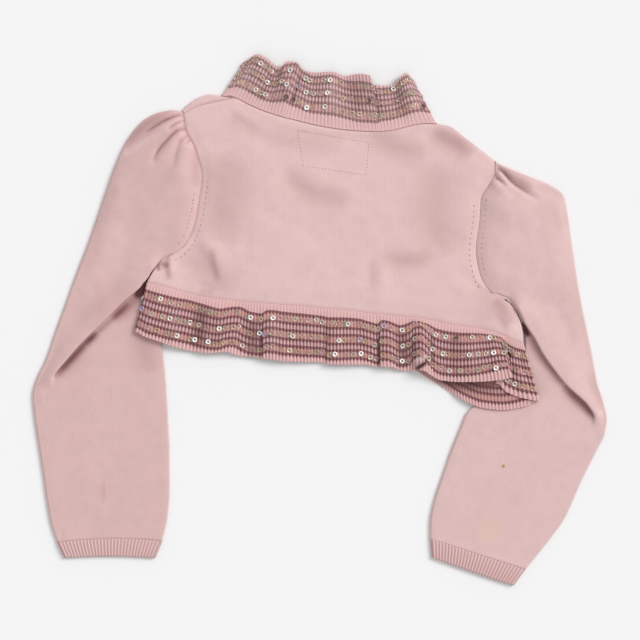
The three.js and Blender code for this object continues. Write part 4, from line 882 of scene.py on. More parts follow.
def make_left_front():
    """The left front panel and the flap that it turns over the shoulder."""
    hem = seam_stretch(hem_surface, before_fold(left_hem_fold), 0, HEM_DEPTH)
    neck = seam_stretch(neck_surface, left_neck_fold[0] - 2 * SEAM_GAP, 0, HIDDEN_NECK_DEPTH, dims=2)
    shoulder = smooth_path([*LEFT_SHOULDER_FOLD, neck(0.0)])
    top = chain([shoulder, neck], [FRONT_SHOULDER_SHARE, 1])
    left = side_edge(hem(0.0), LEFT_SIDE, LEFT_ARMHOLE, shoulder(0.0), ARMPIT_LEFT)
    right = straight(hem(1.0)[:2], neck(1.0))
    turned = (True, False, lambda u: np.zeros_like(u, bool))
    shape = (hem, top, left, right)
    front, _ = panel("left_front_panel", shape, FRONT_LEVEL, 1, (130, 130), turned, (90, 70))
    # The shoulder's edge goes over the fold and down to the seam on the back
    seam = smooth_path(np.vstack([LEFT_SHOULDER_SEAM, LEFT_SEAM_END]) + [-0.1, 0.25])
    shares = np.linspace(0, 1, 60)
    fold, end = shoulder(shares), seam(shares)
    along = np.gradient(fold, axis=0)
    away = unit(np.stack([-along[:, 1], along[:, 0]], axis=-1))
    rows = []
    for angle in np.radians(np.linspace(-90, 90, FLAP_STEPS)):
        reach = TURN * math.cos(angle)
        height = np.full(len(shares), MIDDLE_LEVEL + TURN * math.sin(angle))
        rows.append(np.column_stack([fold + away * reach, height]))
    for t in np.linspace(0, 1, FLAP_STEPS + 1)[1:]:
        middle = fold + (end - fold) * t
        dip = SEAM_DIP * ease(1 - (1 - t) * np.linalg.norm(end - fold, axis=1) / SEAM_ROLL)
        height = BACK_LEVEL - dip + 0.5 * math.sin(math.pi * t) * ease(shares * 4) * ease((1 - shares) * 4)
        rows.append(np.column_stack([middle, height]))
    points = np.stack(rows, axis=1)
    flap = cloth_wall("left_shoulder_flap", points, points[..., :2].copy())
    return front, flap


def make_right_front():
    """The right front panel."""
    hem = seam_stretch(hem_surface, hem_surface.length, after_fold(right_hem_fold), HEM_DEPTH)
    neck = seam_stretch(neck_surface, neck_surface.length, right_neck_fold[-1], HIDDEN_NECK_DEPTH, dims=2)
    shoulder = smooth_path([neck(1.0), *RIGHT_SHOULDER[::-1]])
    top = chain([neck, shoulder], [1 - FRONT_SHOULDER_SHARE, 1])
    left = straight(hem(0.0)[:2], neck(0.0))
    right = side_edge(hem(1.0), RIGHT_SIDE, RIGHT_ARMHOLE, shoulder(1.0), ARMPIT_RIGHT)
    turned = (False, True, lambda u: u > 1 - FRONT_SHOULDER_SHARE)
    shape = (hem, top, left, right)
    return panel("right_front_panel", shape, FRONT_LEVEL, 1, (140, 130), turned, (90, 70))[0]


# Sleeves and cuffs

UNDERSIDE_STEPS = 22
TOP_STEPS = 84
TUCK_STEPS = 8
LOWER_STEPS = 34
EDGE_STEPS = 7
TUCK_SPREAD = 0.3
TUCK_ROOM = 2.4
TUCK_RISE = 16  # how far before its crease the upper layer starts to rise
SMALLEST_TURN = 12
HEAD_FULLNESS = 1.7  # how much fuller the sleeve's head is than its solid
GATHER_REACH = 52  # how far the fine grid reaches that the gathers need
GATHER_STEP = 0.8
TOP_CROWDING = 1.3  # how much closer the upper layer's steps lie at the outer edge
LOWER_CROWDING = 1.5  # how much closer the lower layer's steps lie where the tuck throws its shadow
STATIONS = 200
SLEEVE_SWELL = 0.55
# How far from an edge the swell, the creases, the gathers and the full head come up
SWELL_FADE = 12
CUFF_FADE = 10
TUCK_FADE = 5
CREASE_FADE = 3.2
GATHER_FADE = 1.6
HEAD_FADE = 3.5
GRAIN_STEPS = 240
CUFF_RINGS = 14
CUFF_RIB_STEPS = 8
CUFF_SWELL = 0.5
CUFF_RELIEF = 0.28


def underside(width):
    """The lower layer of a section."""
    across = np.linspace(width - TUBE_INSET, TUBE_INSET, UNDERSIDE_STEPS)
    return np.column_stack([across, np.full(len(across), FRONT_LEVEL)])


def edge_turn(centre, side):
    """The half circle between two layers, on the outer side (-1) or the inner one (1)."""
    angles = np.radians(np.linspace(0, 180, EDGE_STEPS + 2)[1:-1])
    across, up = np.sin(angles), np.cos(angles)
    return np.column_stack([centre + side * TURN * across, MIDDLE_LEVEL + side * TURN * up])


def sleeve_section(row, width):
    """The middle of the wall across one section, as (across, height) all round."""
    turn = math.radians(max(row["turn"], SMALLEST_TURN))
    spread = TUCK_SPREAD * (1 - row["turn"] / 180)
    room = TUCK_ROOM + spread * (2 * TUCK_STEPS + 1)
    crease = min(row["crease"] * width - TUBE_INSET, width - TUBE_INSET - room)
    drop = TURN * (1 - math.cos(turn))
    upper = BACK_LEVEL + 2 * drop
    rise_from = max(crease - row["depth"] - TUCK_RISE, TUBE_INSET)
    across = TUBE_INSET + (crease - TUBE_INSET) * np.linspace(0, 1, TOP_STEPS) ** TOP_CROWDING
    share = across / width
    puff = HEAD_FULLNESS * row["puff"] * np.sin(np.pi * share) ** 0.7 * (1.3 - share)
    rise = ease((across - rise_from) / (crease - rise_from))
    top = np.column_stack([across, BACK_LEVEL + 2 * drop * rise + puff])
    angles = np.linspace(0, turn, TUCK_STEPS + 1)[1:]
    over = np.column_stack([crease + TURN * np.sin(angles), upper - TURN * (1 - np.cos(angles))])
    foot_across = crease + TURN * math.sin(turn) - max(row["depth"], 0.05) * abs(math.cos(turn))
    back = np.array([turn, *angles[-2::-1], 0])
    under = np.column_stack([
        foot_across + TURN * (math.sin(turn) - np.sin(back)),
        upper - drop - TURN * (np.cos(back) - math.cos(turn)),
    ])
    tuck = np.concatenate([over, under])
    tuck[:, 0] += spread * np.arange(1, len(tuck) + 1)
    foot = tuck[-1, 0]
    lower = foot + (width - TUBE_INSET - foot) * np.linspace(0, 1, LOWER_STEPS)[1:] ** LOWER_CROWDING
    lower = np.column_stack([lower, np.full(len(lower), BACK_LEVEL)])
    return np.concatenate([
        underside(width), edge_turn(TUBE_INSET, -1), top, tuck, lower, edge_turn(width - TUBE_INSET, 1),
    ])


def place_section(row, section, bow):
    """Places a section's points between the outer and inner edge of its row."""
    start = np.array([row["ox"], row["oy"]])
    across = np.array([row["ix"], row["iy"]]) - start
    width = np.linalg.norm(across)
    share = section[:, 0] / width
    sag = (row["sag"] * 4 * share * (1 - share) / width)[:, None] * np.array([-across[1], across[0]])
    plan = start + across * share[:, None] + bow(share) + sag
    return np.column_stack([plan, section[:, 1]])


def section_width(row):
    """From the outer to the inner edge."""
    return math.hypot(row["ix"] - row["ox"], row["iy"] - row["oy"])


def grain_uvs(points, grain):
    """A tube's places beside and along its grain in millimetres, with the first column again at the end."""
    closed = np.concatenate([points, points[:, :1]], axis=1)[..., :2]
    line = smooth_path(grain)(np.linspace(0, 1, GRAIN_STEPS))
    way = unit(np.gradient(line, axis=0))
    lengths = run_lengths(line)
    nearest = np.stack([np.linalg.norm(row[:, None] - line[None], axis=2).argmin(axis=1) for row in closed])
    gap = closed - line[nearest]
    beside_it = gap[..., 0] * way[nearest][..., 1] - gap[..., 1] * way[nearest][..., 0]
    along_it = lengths[nearest] + (gap * way[nearest]).sum(axis=2)
    return np.dstack([beside_it, along_it])


def make_sleeve(name, table, armhole, grain, gathers, creases, shades, tuck_shades, head, seed):
    """A sleeve as one tube."""
    table = columns(SLEEVE_COLUMNS, table)
    middles = np.column_stack([(table["ox"] + table["ix"]) / 2, (table["oy"] + table["iy"]) / 2])
    places = run_lengths(middles)
    lines = {column: smooth_line(places, values) for column, values in table.items()}
    curve = smooth_path(armhole)
    start, end = curve(0.0), curve(1.0)
    close = np.arange(0, GATHER_REACH, GATHER_STEP)
    stops = np.linspace(GATHER_REACH, places[-1], STATIONS)
    stops = np.unique(np.concatenate([close, stops, [GATHER_STEP / 2]]))
    rings = []
    for place in stops:
        row = {column: float(line(place)) for column, line in lines.items()}

        def bow(share):
            return row["armhole"] * (curve(share) - start - (end - start) * share[:, None])

        rings.append(place_section(row, sleeve_section(row, section_width(row)), bow))
    points = np.stack(rings)
    # Only the upper layer swells and creases, and its edges stay where they are
    first = UNDERSIDE_STEPS + EDGE_STEPS
    upper = slice(first, first + TOP_STEPS)
    from_edge = lengths_along(points[:, upper], 1)
    from_tuck = from_edge[:, -1:] - from_edge
    ends = (ease((stops - 1) / SWELL_FADE) * ease((places[-1] - stops) / CUFF_FADE))[:, None]
    room = ease(from_edge / SWELL_FADE) * ease(from_tuck / SWELL_FADE) * ends
    x, y = points[:, upper, 0], points[:, upper, 1]
    lift = (SLEEVE_SWELL + unevenness(x, y, SLEEVE_WAVES, seed)) * room
    gather_x, gather_y, reach, fullness = head
    near = ((x - gather_x) ** 2 + (y - gather_y) ** 2) / reach ** 2
    lift += fullness * np.exp(-near) * ease(stops / HEAD_FADE)[:, None] * ease(from_edge / TUCK_FADE)
    folds = crease_heights(creases, x, y)
    folds += crease_heights(gathers, x, y, run_out) * ease(stops / GATHER_FADE)[:, None]
    lift += folds * ease(from_edge / CREASE_FADE) * ease(from_tuck / TUCK_FADE)
    lift -= SEAM_DIP * ease(1 - stops / SEAM_ROLL)[:, None]
    points[:, upper, 2] = np.maximum(points[:, upper, 2] + lift, BACK_LEVEL - SEAM_DIP)
    shade = np.zeros(points.shape[:2])
    shade[:, upper] = crease_heights(shades, x, y, even_out)
    lower = slice(first + TOP_STEPS + TUCK_STEPS, None)
    under_tuck = crease_heights(tuck_shades, points[:, lower, 0], points[:, lower, 1], even_out)
    shade[:, lower] = under_tuck * (points[:, lower, 2] > MIDDLE_LEVEL)
    return cloth_wall(name, points, grain_uvs(points, grain), around=True, flip=True, shade=shade), points


def make_cuff(name, table):
    """A cuff as one tube, ribbed all round."""
    rows = columns(CUFF_COLUMNS, table)
    width = section_width({column: values[0] for column, values in rows.items()})
    ribs = round((width - 2 * TUBE_INSET) / CUFF_RIB_PITCH)
    steps = ribs * CUFF_RIB_STEPS
    rings = []
    for t in np.linspace(0, 1, CUFF_RINGS):
        row = {column: values[0] + (values[1] - values[0]) * t for column, values in rows.items()}
        w = section_width(row)
        across = np.linspace(w - TUBE_INSET, TUBE_INSET, steps + 1)
        under = np.column_stack([across, np.full(steps + 1, FRONT_LEVEL)])
        upper = BACK_LEVEL + CUFF_SWELL * math.sin(math.pi * t)
        top = np.column_stack([across[::-1], np.full(steps + 1, upper)])
        section = np.concatenate([under, edge_turn(TUBE_INSET, -1), top, edge_turn(w - TUBE_INSET, 1)])
        rings.append(place_section(row, section, lambda share: 0))
    points = np.stack(rings)
    phase = np.tile(np.append(np.linspace(0, ribs, steps + 1), np.zeros(EDGE_STEPS)), 2)
    ends = ease((1 - np.abs(np.linspace(-1, 1, CUFF_RINGS))) * 5)[:, None]
    relief = -CUFF_RELIEF * np.cos(math.tau * phase)[None, :] * (0.35 + 0.65 * ends)
    closed = np.concatenate([points, points[:, :1]], axis=1)
    wide = np.broadcast_to(np.append(phase, ribs) * CUFF_RIB_PITCH, closed.shape[:2])
    uvs = np.dstack([wide, lengths_along(closed, 0)])
    return cloth_wall(name, points, uvs, relief, around=True, flip=True)


# Trims

RIB_COLUMNS = 6
RIB_RELIEF = 0.34
ACROSS_STEPS = 26
ACROSS_CLOSE = (0.012, 0.025, 0.985, 0.994)  # more of them at both edges
LOBE = 0.45  # how far each rib's rounded end stands out
LOBE_FROM = 0.93
RIB_END = 0.94


def trim_relief(along, across):
    """Ribs of a trim, which fade out into the seam and end in rounded lobes at the edge."""
    fade = ease((across - 0.1) / 0.2) * (1 - 0.45 * ease((across - RIB_END) / (1 - RIB_END)))
    return -RIB_RELIEF * np.cos(math.tau * along / RIB_PITCH) * (0.25 + 0.75 * fade)


def make_trim(name, surface, depth, creases, shades, inside_shades, shift, seed, flip):
    """A trim with its flutes and ribs, and a function that gives its points as it is made."""
    count = round(surface.length / RIB_PITCH)
    along = np.linspace(0, surface.length, count * RIB_COLUMNS + 1)
    across = np.unique(np.concatenate([np.linspace(0, 1, ACROSS_STEPS), ACROSS_CLOSE]))
    s, t = np.meshgrid(along, across, indexing="ij")
    points = surface.point(s, t)
    shown = surface.column["shown"](along)[:, None]
    level = points[..., 2]
    waves = unevenness(s, t * depth, TRIM_WAVES, seed)
    on_top = ease(t * 2.5) * shown * ease((level - 1.9) / 0.6)
    folds = crease_heights(creases, points[..., 0], points[..., 1])
    lift = np.maximum(waves + 0.15, -0.2) + np.maximum(folds, BACK_LEVEL - level)
    points[..., 2] += lift * on_top
    # Each rib ends in a rounded lobe
    lobe = LOBE * (1 - np.abs(np.cos(math.pi * along / RIB_PITCH)) ** 0.5)
    outward = unit(surface.point(along, np.ones_like(along)) - surface.point(along, np.full_like(along, 0.9)))
    lobe = (lobe - LOBE)[:, None] * ease((t - LOBE_FROM) / (1 - LOBE_FROM))
    points += outward[:, None] * lobe[..., None]
    heights = points[..., 2]
    relief = trim_relief(s, t)
    uvs = np.dstack([s, t - shift(along)[:, None] * ease(t / 0.16)])
    top_shade = crease_heights(shades, points[..., 0], points[..., 1], even_out)
    inside_shade = crease_heights(inside_shades, points[..., 0], points[..., 1], even_out)
    shade = np.where(shown > 0.5, top_shade * (level > 1.6), inside_shade)
    trim = cloth_wall(name, points, uvs, relief, flip=flip, shade=shade)

    def lifted(place, share):
        """A point of the trim as it is made, with its flutes."""
        point = surface.point(place, share)
        i = np.clip(np.round(place / surface.length * (len(along) - 1)).astype(int), 0, len(along) - 1)
        j = np.clip(np.searchsorted(across, share), 1, len(across) - 1)
        part = (share - across[j - 1]) / (across[j] - across[j - 1])
        point[..., 2] = heights[i, j - 1] * (1 - part) + heights[i, j] * part
        return point

    return trim, lifted


def sequin_shape():
    """A cupped disc with a hole in its middle, flat on the ground, as rings of points and quads."""
    rings = [(SEQUIN_HOLE / 2, 0.0), (SEQUIN * 0.38, 0.08), (SEQUIN / 2, 0.24), (SEQUIN * 0.4, -0.04)]
    angles = np.arange(SEQUIN_SIDES) * math.tau / SEQUIN_SIDES
    vertices = np.array([[r * math.cos(a), r * math.sin(a), z] for r, z in rings for a in angles])
    quads = []
    for ring in range(len(rings)):
        here, there = ring * SEQUIN_SIDES, (ring + 1) % len(rings) * SEQUIN_SIDES
        for j in range(SEQUIN_SIDES):
            k = (j + 1) % SEQUIN_SIDES
            quads.append([here + j, there + j, there + k, here + k])
    return vertices, np.array(quads)


# How a dull sequin shows: colour, how often, and how solid it looks
SEQUIN_LOOKS = [
    ((0.70, 0.58, 0.40), 0.25, 0.46),
    ((0.56, 0.56, 0.40), 0.17, 0.40),
    ((0.74, 0.50, 0.36), 0.12, 0.38),
    ((0.74, 0.54, 0.54), 0.24, 0.34),
    ((0.82, 0.74, 0.60), 0.12, 0.56),
    ((0.74, 0.62, 0.86), 0.03, 0.60),
    ((0.86, 0.80, 0.78), 0.07, 0.50),
]
# Sequin film painted as a glint, as a softer glint, and dim; on the underside some get painted glints at
# random
GLINT_LOOK = ((1.0, 0.99, 0.97), 0.98)
SOFT_GLINT_LOOK = ((0.86, 0.84, 0.78), 0.78)
DIM_LOOK = ((0.20, 0.13, 0.12), 0.75)
HIDDEN_GLINTS = 0.12  # how often one is bright on the underside
GROUND_HEIGHT = 1.2  # below it a sequin lies against the ground
SEQUIN_TILT = 0.15
FARTHEST_MOVE = 0.75  # of a step, from where a sequin would sit to the place it is given
SEQUIN_RISE = 0.3


def stripe_shift(surface, waves, along, depth):
    """How far the stripes lie towards the free edge, as a share of the depth."""
    x = surface.point(along, np.full(np.shape(along), 0.3))[..., 0]
    xs, shifts = np.transpose(waves)
    return smooth_line(xs, shifts)(np.clip(x, xs[0], xs[-1])) * surface.shown(along) / depth


def sequin_places(surface, dark, shift, rng):
    """Where the sequins sit: along the trim and across it, in three rows between pairs of dark stripes."""
    places = []
    steps, odds = zip(*SEQUIN_STEPS)
    for row in ((dark[0] + dark[1]) / 2, (dark[2] + dark[3]) / 2, (dark[4] + dark[5]) / 2):
        along = rng.uniform(1.5, SEQUIN_STEP)
        while along < surface.length - 2.5:
            places.append((along, row + shift(along) + rng.normal(0, 0.012)))
            along += SEQUIN_STEP * rng.choice(steps, p=odds)
    return np.array(places)


def make_sequins(name, surface, lifted, side, dark, shift, chosen, seed):
    """Rows of sequins all round the garment. chosen pairs the looks that stand out, painted glints and dim
    ones, with their places.
    """
    rng = np.random.default_rng(seed)
    base, quads = sequin_shape()
    odds = np.array([odds for _, odds, _ in SEQUIN_LOOKS])
    odds = odds / odds.sum()
    places = sequin_places(surface, dark, shift, rng)
    along, across = places.T
    centres = lifted(along, across)
    shown = surface.shown(along)
    looks, moves = {}, {}
    for look, spots in chosen:
        for spot in spots:
            gap = np.hypot(centres[:, 0] - spot[0], centres[:, 1] - spot[1]) + 99 * ~shown
            nearest = int(np.argmin(gap))
            looks[nearest] = look
            moves[nearest] = (np.array(spot) - centres[nearest, :2]) * (look is not DIM_LOOK)
    vertices, faces, colours = [], [], []
    for index in range(len(places)):
        near = lifted(along[index] + np.array([-1.4, 1.4]), np.full(2, across[index]))
        steep = lifted(np.full(2, along[index]), across[index] + np.array([-0.04, 0.04]))
        normal = unit(side * np.cross(near[1] - near[0], steep[1] - steep[0]))
        if shown[index]:
            normal = unit(normal + [0, 0, 0.6])
        centre = centres[index].copy()
        if index in moves and np.linalg.norm(moves[index]) < SEQUIN_STEP * FARTHEST_MOVE:
            centre[:2] += moves[index]
        lies_under = centre[2] < GROUND_HEIGHT
        axis = unit(normal + rng.normal(0, 0.02 if lies_under else SEQUIN_TILT, 3))
        first = unit(np.cross(axis, [0.3, 0.9, 0.2]))
        turned = np.stack([first, np.cross(axis, first), axis], axis=1)
        lift = KNIT / 2 + RIB_RELIEF + (-0.02 if lies_under else SEQUIN_RISE)
        points = base @ turned.T + centre + normal * lift
        points[:, 2] = np.maximum(points[:, 2], 0)
        faces.append(quads + len(base) * len(vertices))
        vertices.append(points)
        colour, _, solid = SEQUIN_LOOKS[rng.choice(len(SEQUIN_LOOKS), p=odds)]
        shade, clear = rng.uniform(0.8, 1.1), rng.uniform(0.85, 1.0)
        if index in looks:
            colour, solid = looks[index]
            shade = clear = 1
        # Now and then one on the underside is painted with a glint
        elif rng.uniform() < HIDDEN_GLINTS and not shown[index]:
            colour, solid = GLINT_LOOK
        colours.append(np.tile([*(np.array(colour) * shade), solid * clear], (len(base), 1)))
    piece = make_piece(name, np.concatenate(vertices) * MM, np.concatenate(faces))
    layer = piece.data.color_attributes.new("shine", "FLOAT_COLOR", "POINT")
    layer.data.foreach_set("color", np.concatenate(colours).astype(np.float32).ravel())
    return piece


# Shader maths

class Value:
    """A socket's number: an expression on it adds its Math nodes."""

    def __init__(self, look, socket):
        self.look, self.socket = look, socket

    def step(self, low, high):
        """0 below low, 1 above high and smooth between them."""
        settings = {"interpolation_type": "SMOOTHSTEP"}
        return self.look.node("ShaderNodeMapRange", settings, self, low, high)[0]


def math_method(operation, reflected):
    """A method that adds a Math node to a value; reflected puts the value last."""
    def method(value, *others):
        inputs = (*others, value) if reflected else (value, *others)
        return value.look.node("ShaderNodeMath", {"operation": operation}, *inputs)[0]

    return method


for operation, method_name in (
    ("ADD", "__add__"), ("ADD", "__radd__"), ("SUBTRACT", "__sub__"), ("SUBTRACT", "__rsub__"),
    ("MULTIPLY", "__mul__"), ("MULTIPLY", "__rmul__"), ("DIVIDE", "__truediv__"), ("POWER", "__pow__"),
    ("COSINE", "cos"), ("FRACT", "fraction"), ("ABSOLUTE", "absolute"), ("MINIMUM", "least"),
    ("MAXIMUM", "most"),
):
    setattr(Value, method_name, math_method(operation, method_name.startswith("__r")))


def most_of(values):
    """The highest of several values at each place."""
    highest, *others = values
    for other in others:
        highest = highest.most(other)
    return highest


class Look:
    """A material and its nodes."""

    def __init__(self, name):
        self.material = bpy.data.materials.new(name)
        self.material.use_nodes = True
        self.tree = self.material.node_tree
        self.tree.nodes.clear()

    def node(self, kind, settings, *values, **named):
        """Makes a node, sets it, fills its sockets and gives its outputs."""
        made = self.tree.nodes.new(kind)
        for key, value in settings.items():
            setattr(made, key, value)
        pairs = [(socket, value) for socket, value in zip(made.inputs, values)]
        pairs += [(made.inputs[key.replace("_", " ")], value) for key, value in named.items()]
        for socket, value in pairs:
            if isinstance(value, Value):
                self.tree.links.new(value.socket, socket)
            elif value is not None:
                socket.default_value = value
        return [Value(self, socket) for socket in made.outputs if socket.enabled]

    def mix(self, share, first, second):
        """A mix of two colours."""
        made = self.tree.nodes.new("ShaderNodeMix")
        made.data_type = "RGBA"
        for index, value in ((0, share), (6, first), (7, second)):
            if isinstance(value, Value):
                self.tree.links.new(value.socket, made.inputs[index])
            else:
                made.inputs[index].default_value = value if index == 0 else (*value[:3], 1)
        return Value(self, made.outputs[2])

    def finish(self, **sockets):
        """Ends in a Principled shader with these sockets, and gives the material."""
        shader = self.node("ShaderNodeBsdfPrincipled", {}, **sockets)[0]
        self.node("ShaderNodeOutputMaterial", {}, shader)
        return self.material


def tint(red, green, blue):
    """A colour as the eye reads it, from 0 to 255, for the shader."""
    return tuple(((part / 255 + 0.055) / 1.055) ** 2.4 for part in (red, green, blue))


def scaled(colour, *factors):
    """A colour with its parts multiplied by one factor or by three, at most 1."""
    return tuple(min(part * factor, 1) for part, factor in zip(colour, factors * (3 // len(factors))))


WALE = 1.35  # width of a column of stitches
COURSE = 1.0  # height of a row of stitches


def cosine_wave(turns, size=0.5):
    """A wave from 0 to 1 that is highest, or with -0.5 lowest, at each whole turn."""
    return (turns * math.tau).cos() * size + 0.5


def knit_stitches(wide, high):
    """How high the yarn stands in plain knit, columns of V stitches, at places in millimetres."""
    from_middle = ((wide / WALE).fraction() * 2 - 1).absolute()
    leg = cosine_wave(high / COURSE + from_middle * 0.55)
    groove = from_middle.step(0.62, 1.0)
    middle = from_middle.step(0.0, 0.25)
    return (leg * 0.06 + 0.94) * (1 - groove) * (middle * 0.3 + 0.7)


def places_of(look):
    """Object coordinates in millimetres."""
    where = look.node("ShaderNodeTexCoord", {})[3]
    return [value * 1000 for value in look.node("ShaderNodeSeparateXYZ", {}, where)]


def cloth_places(look):
    """The knit's own coordinates."""
    where = look.node("ShaderNodeUVMap", {"uv_map": "knit"})[0]
    return look.node("ShaderNodeSeparateXYZ", {}, where)[:2]


def noise(look, scale, detail=2.0, roughness=0.5):
    """Soft noise over Object coordinates; scale is its size in millimetres."""
    where = look.node("ShaderNodeTexCoord", {})[3]
    return look.node(
        "ShaderNodeTexNoise", {}, Vector=where, Scale=1000 / scale, Detail=detail, Roughness=roughness)[0]


def add_stains(look, colour, stains):
    """Soft worn marks. A stain is x, y, half its width and height, its tint and how strong it is."""
    if not stains:
        return colour
    x, y, _ = places_of(look)
    for cx, cy, rx, ry, mark, strength in stains:
        reach = ((x - cx) * (1 / rx)) ** 2 + ((y - cy) * (1 / ry)) ** 2
        mask = (1 - reach.step(0.15, 1.0)) * strength
        colour = look.mix(mask, colour, mark)
    return colour


# Colours of the painted shade in folds and hollows, of the darkest painted shadow, and of the painted
# highlight
FOLD_SHADE = tint(142, 94, 94)
FOLD_DARK = tint(84, 44, 46)
FOLD_LIGHT = tint(240, 216, 212)
FULL_SHADE = 0.8  # above it a fold turns to its darkest colour


def add_shade(look, colour, depth=1.0):
    """Paints shade into the cloth's colour by its shade attribute, and a highlight where that is below zero.
    """
    shade = look.node("ShaderNodeAttribute", {"attribute_name": "shade"})[2]
    colour = look.mix((shade * -1).most(0).least(1), colour, FOLD_LIGHT)
    colour = look.mix(shade.most(0).least(FULL_SHADE), colour, scaled(FOLD_SHADE, depth))
    return look.mix((shade - FULL_SHADE).most(0).least(1) * 2.0, colour, scaled(FOLD_DARK, depth))


def knitted(look, colour, height, roughness=0.92, sheen=0.35, sheen_roughness=0.55):
    """Ends a knit's look with a fine bump from how high the yarn stands, and a cloth's dull sheen."""
    bump = look.node("ShaderNodeBump", {}, Strength=0.5, Distance=0.00025, Height=height)[0]
    return look.finish(
        Base_Color=colour, Roughness=roughness, Normal=bump, Sheen_Weight=sheen,
        Sheen_Roughness=sheen_roughness, Specular_IOR_Level=0.25)


def jersey(name, base, stains=()):
    """Fine plain knit."""
    look = Look(name)
    stitch = knit_stitches(*cloth_places(look))
    patches = noise(look, 60, 3.0)
    fuzz = noise(look, 2.4, 4.0, 0.7)
    heather = noise(look, 9, 3.0, 0.6)
    streaks = noise(look, 14, 2.0).step(0.35, 0.65) * 0.6 + 0.2
    # Painted shade in the grooves between the columns of stitches, in streaks, and the stitches painted a
    # little lighter
    groove_shade = (1 - stitch.step(0.05, 0.75)) * streaks
    colour = look.mix(groove_shade, scaled(base, 1.03, 1.04, 1.04), scaled(base, 0.86, 0.80, 0.81))
    for mask, factor in (
        (patches.step(0.35, 0.7) * 0.35, 0.94), (heather.step(0.5, 0.72) * 0.3, 1.1),
        ((1 - heather.step(0.3, 0.5)) * 0.3, 0.9), (fuzz.step(0.55, 0.8) * 0.2, 1.16),
    ):
        colour = look.mix(mask, colour, scaled(base, factor))
    colour = add_shade(look, add_stains(look, colour, stains))
    return knitted(look, colour, stitch * 0.6 + fuzz * 0.5 + heather * 0.6)


def rib_knit(name, base, pitch):
    """Ribbed knit; its ribs are in the mesh, so here the valleys between them only get painted shade, and the
    stitches on the ribs a painted highlight.
    """
    look = Look(name)
    wide, high = cloth_places(look)
    rib = cosine_wave(wide / pitch, -0.5)
    stitch = cosine_wave(high / COURSE + rib * 0.5)
    fuzz = noise(look, 2.2, 4.0, 0.7)
    # Painted shade in the valleys, and painted highlight on the stitches of the ribs
    colour = look.mix(rib.step(0.0, 0.6), scaled(base, 0.76, 0.67, 0.69), base)
    colour = look.mix(stitch * rib * 0.25, colour, scaled(base, 1.12))
    return knitted(look, colour, stitch * rib * 0.7 + fuzz * 0.35, sheen=0.3)


PINK = tint(219, 186, 184)
BAND = tint(217, 175, 173)
MAUVE = tint(128, 77, 82)
ROW_GROUND = tint(192, 143, 136)
PALE_STRIPE = tint(201, 161, 163)
# The painted shade of the rib valleys, and the painted highlight of the stitches on the ribs
VALLEY_SHADE = tint(146, 98, 100)
CREST_HIGHLIGHT = tint(232, 205, 204)
UNEVEN = 0.012  # how far the stripes waver, and reach into the valleys, as a share of the depth
STRIPE_HALF = 0.024


def striped_rib(name, dark, depth, teeth, light=0.0):
    """The trims' striped rib.

    Between the ribs its dark stripes reach further, towards the edge where teeth is 1."""
    look = Look(name)
    along, across = cloth_places(look)
    rib = cosine_wave(along / RIB_PITCH, -0.5)
    fuzz = noise(look, 2.0, 4.0, 0.7)
    place = across + (noise(look, 5.0, 2.0, 0.5) - 0.5) * UNEVEN - (1 - rib) * (UNEVEN * teeth)
    half = (1 - rib) * 0.014 + STRIPE_HALF
    stripes = most_of([1 - ((place - centre).absolute() / half).step(0.55, 1.25) for centre in dark])

    def between(pairs, full):
        """1 between those pairs of dark stripes."""
        bands = []
        for first, second in pairs:
            middle, reach = (dark[first] + dark[second]) / 2, (dark[second] - dark[first]) / 2
            bands.append(1 - (place - middle).absolute().step(reach * full, reach * 1.1))
        return most_of(bands)

    rows = between(((0, 1), (2, 3), (4, 5)), 0.8)
    pale = between(((1, 2), (3, 4)), 0.7)
    striped = place.step(dark[0] - 0.04, dark[0]) * (1 - place.step(dark[5] + 0.02, dark[5] + 0.05) * 0.75)
    # Painted shade in the valleys between the ribs: each band's colour made darker
    shaded_valley = look.mix(striped, scaled(BAND, 0.84, 0.77, 0.78), VALLEY_SHADE)
    shaded_valley = look.mix(rows, shaded_valley, scaled(ROW_GROUND, 0.84, 0.74, 0.76))
    shaded_valley = look.mix(stripes, shaded_valley, scaled(MAUVE, 0.62))
    crest = look.mix(rows, BAND, ROW_GROUND)
    crest = look.mix(pale, crest, PALE_STRIPE)
    crest = look.mix(stripes, crest, MAUVE)
    fade = across.step(0.0, 0.10) * 0.75 + 0.25
    colour = look.mix(rib.step(0.02, 0.62) * fade + (1 - fade), shaded_valley, crest)
    stitch = cosine_wave(across * depth / COURSE + rib * 0.5)
    # Painted highlight on the stitches of the ribs, and light as painted light over the whole trim
    colour = look.mix(stitch * rib * 0.16 + light, colour, CREST_HIGHLIGHT)
    colour = add_shade(look, colour, 0.5)
    height = stitch * rib * 0.7 + fuzz * 0.35
    return knitted(look, colour, height, roughness=0.9, sheen=0.25, sheen_roughness=0.5)


def sequin_film():
    """Thin iridescent plastic, a little see-through."""
    look = Look("sequin_film")
    colour, solid = look.node("ShaderNodeVertexColor", {"layer_name": "shine"})
    return look.finish(
        Base_Color=colour, Roughness=0.2, Metallic=0.3, Alpha=solid, Coat_Weight=0.5, Coat_Roughness=0.08,
        Specular_IOR_Level=0.6,
    )


def thread(name, colour):
    """Twisted sewing thread."""
    look = Look(name)
    twist = noise(look, 0.6, 2.0)
    shade = look.mix(twist.step(0.3, 0.7), scaled(colour, 0.7), colour)
    return look.finish(Base_Color=shade, Roughness=0.75, Specular_IOR_Level=0.3)


def floor_paint():
    """The plain pale floor."""
    look = Look("studio_floor")
    mottle = noise(look, 300, 1.0)
    colour = look.mix(mottle, (0.85, 0.85, 0.852), (0.86, 0.86, 0.861))
    return look.finish(Base_Color=colour, Roughness=0.85, Specular_IOR_Level=0.1)


# Sewing

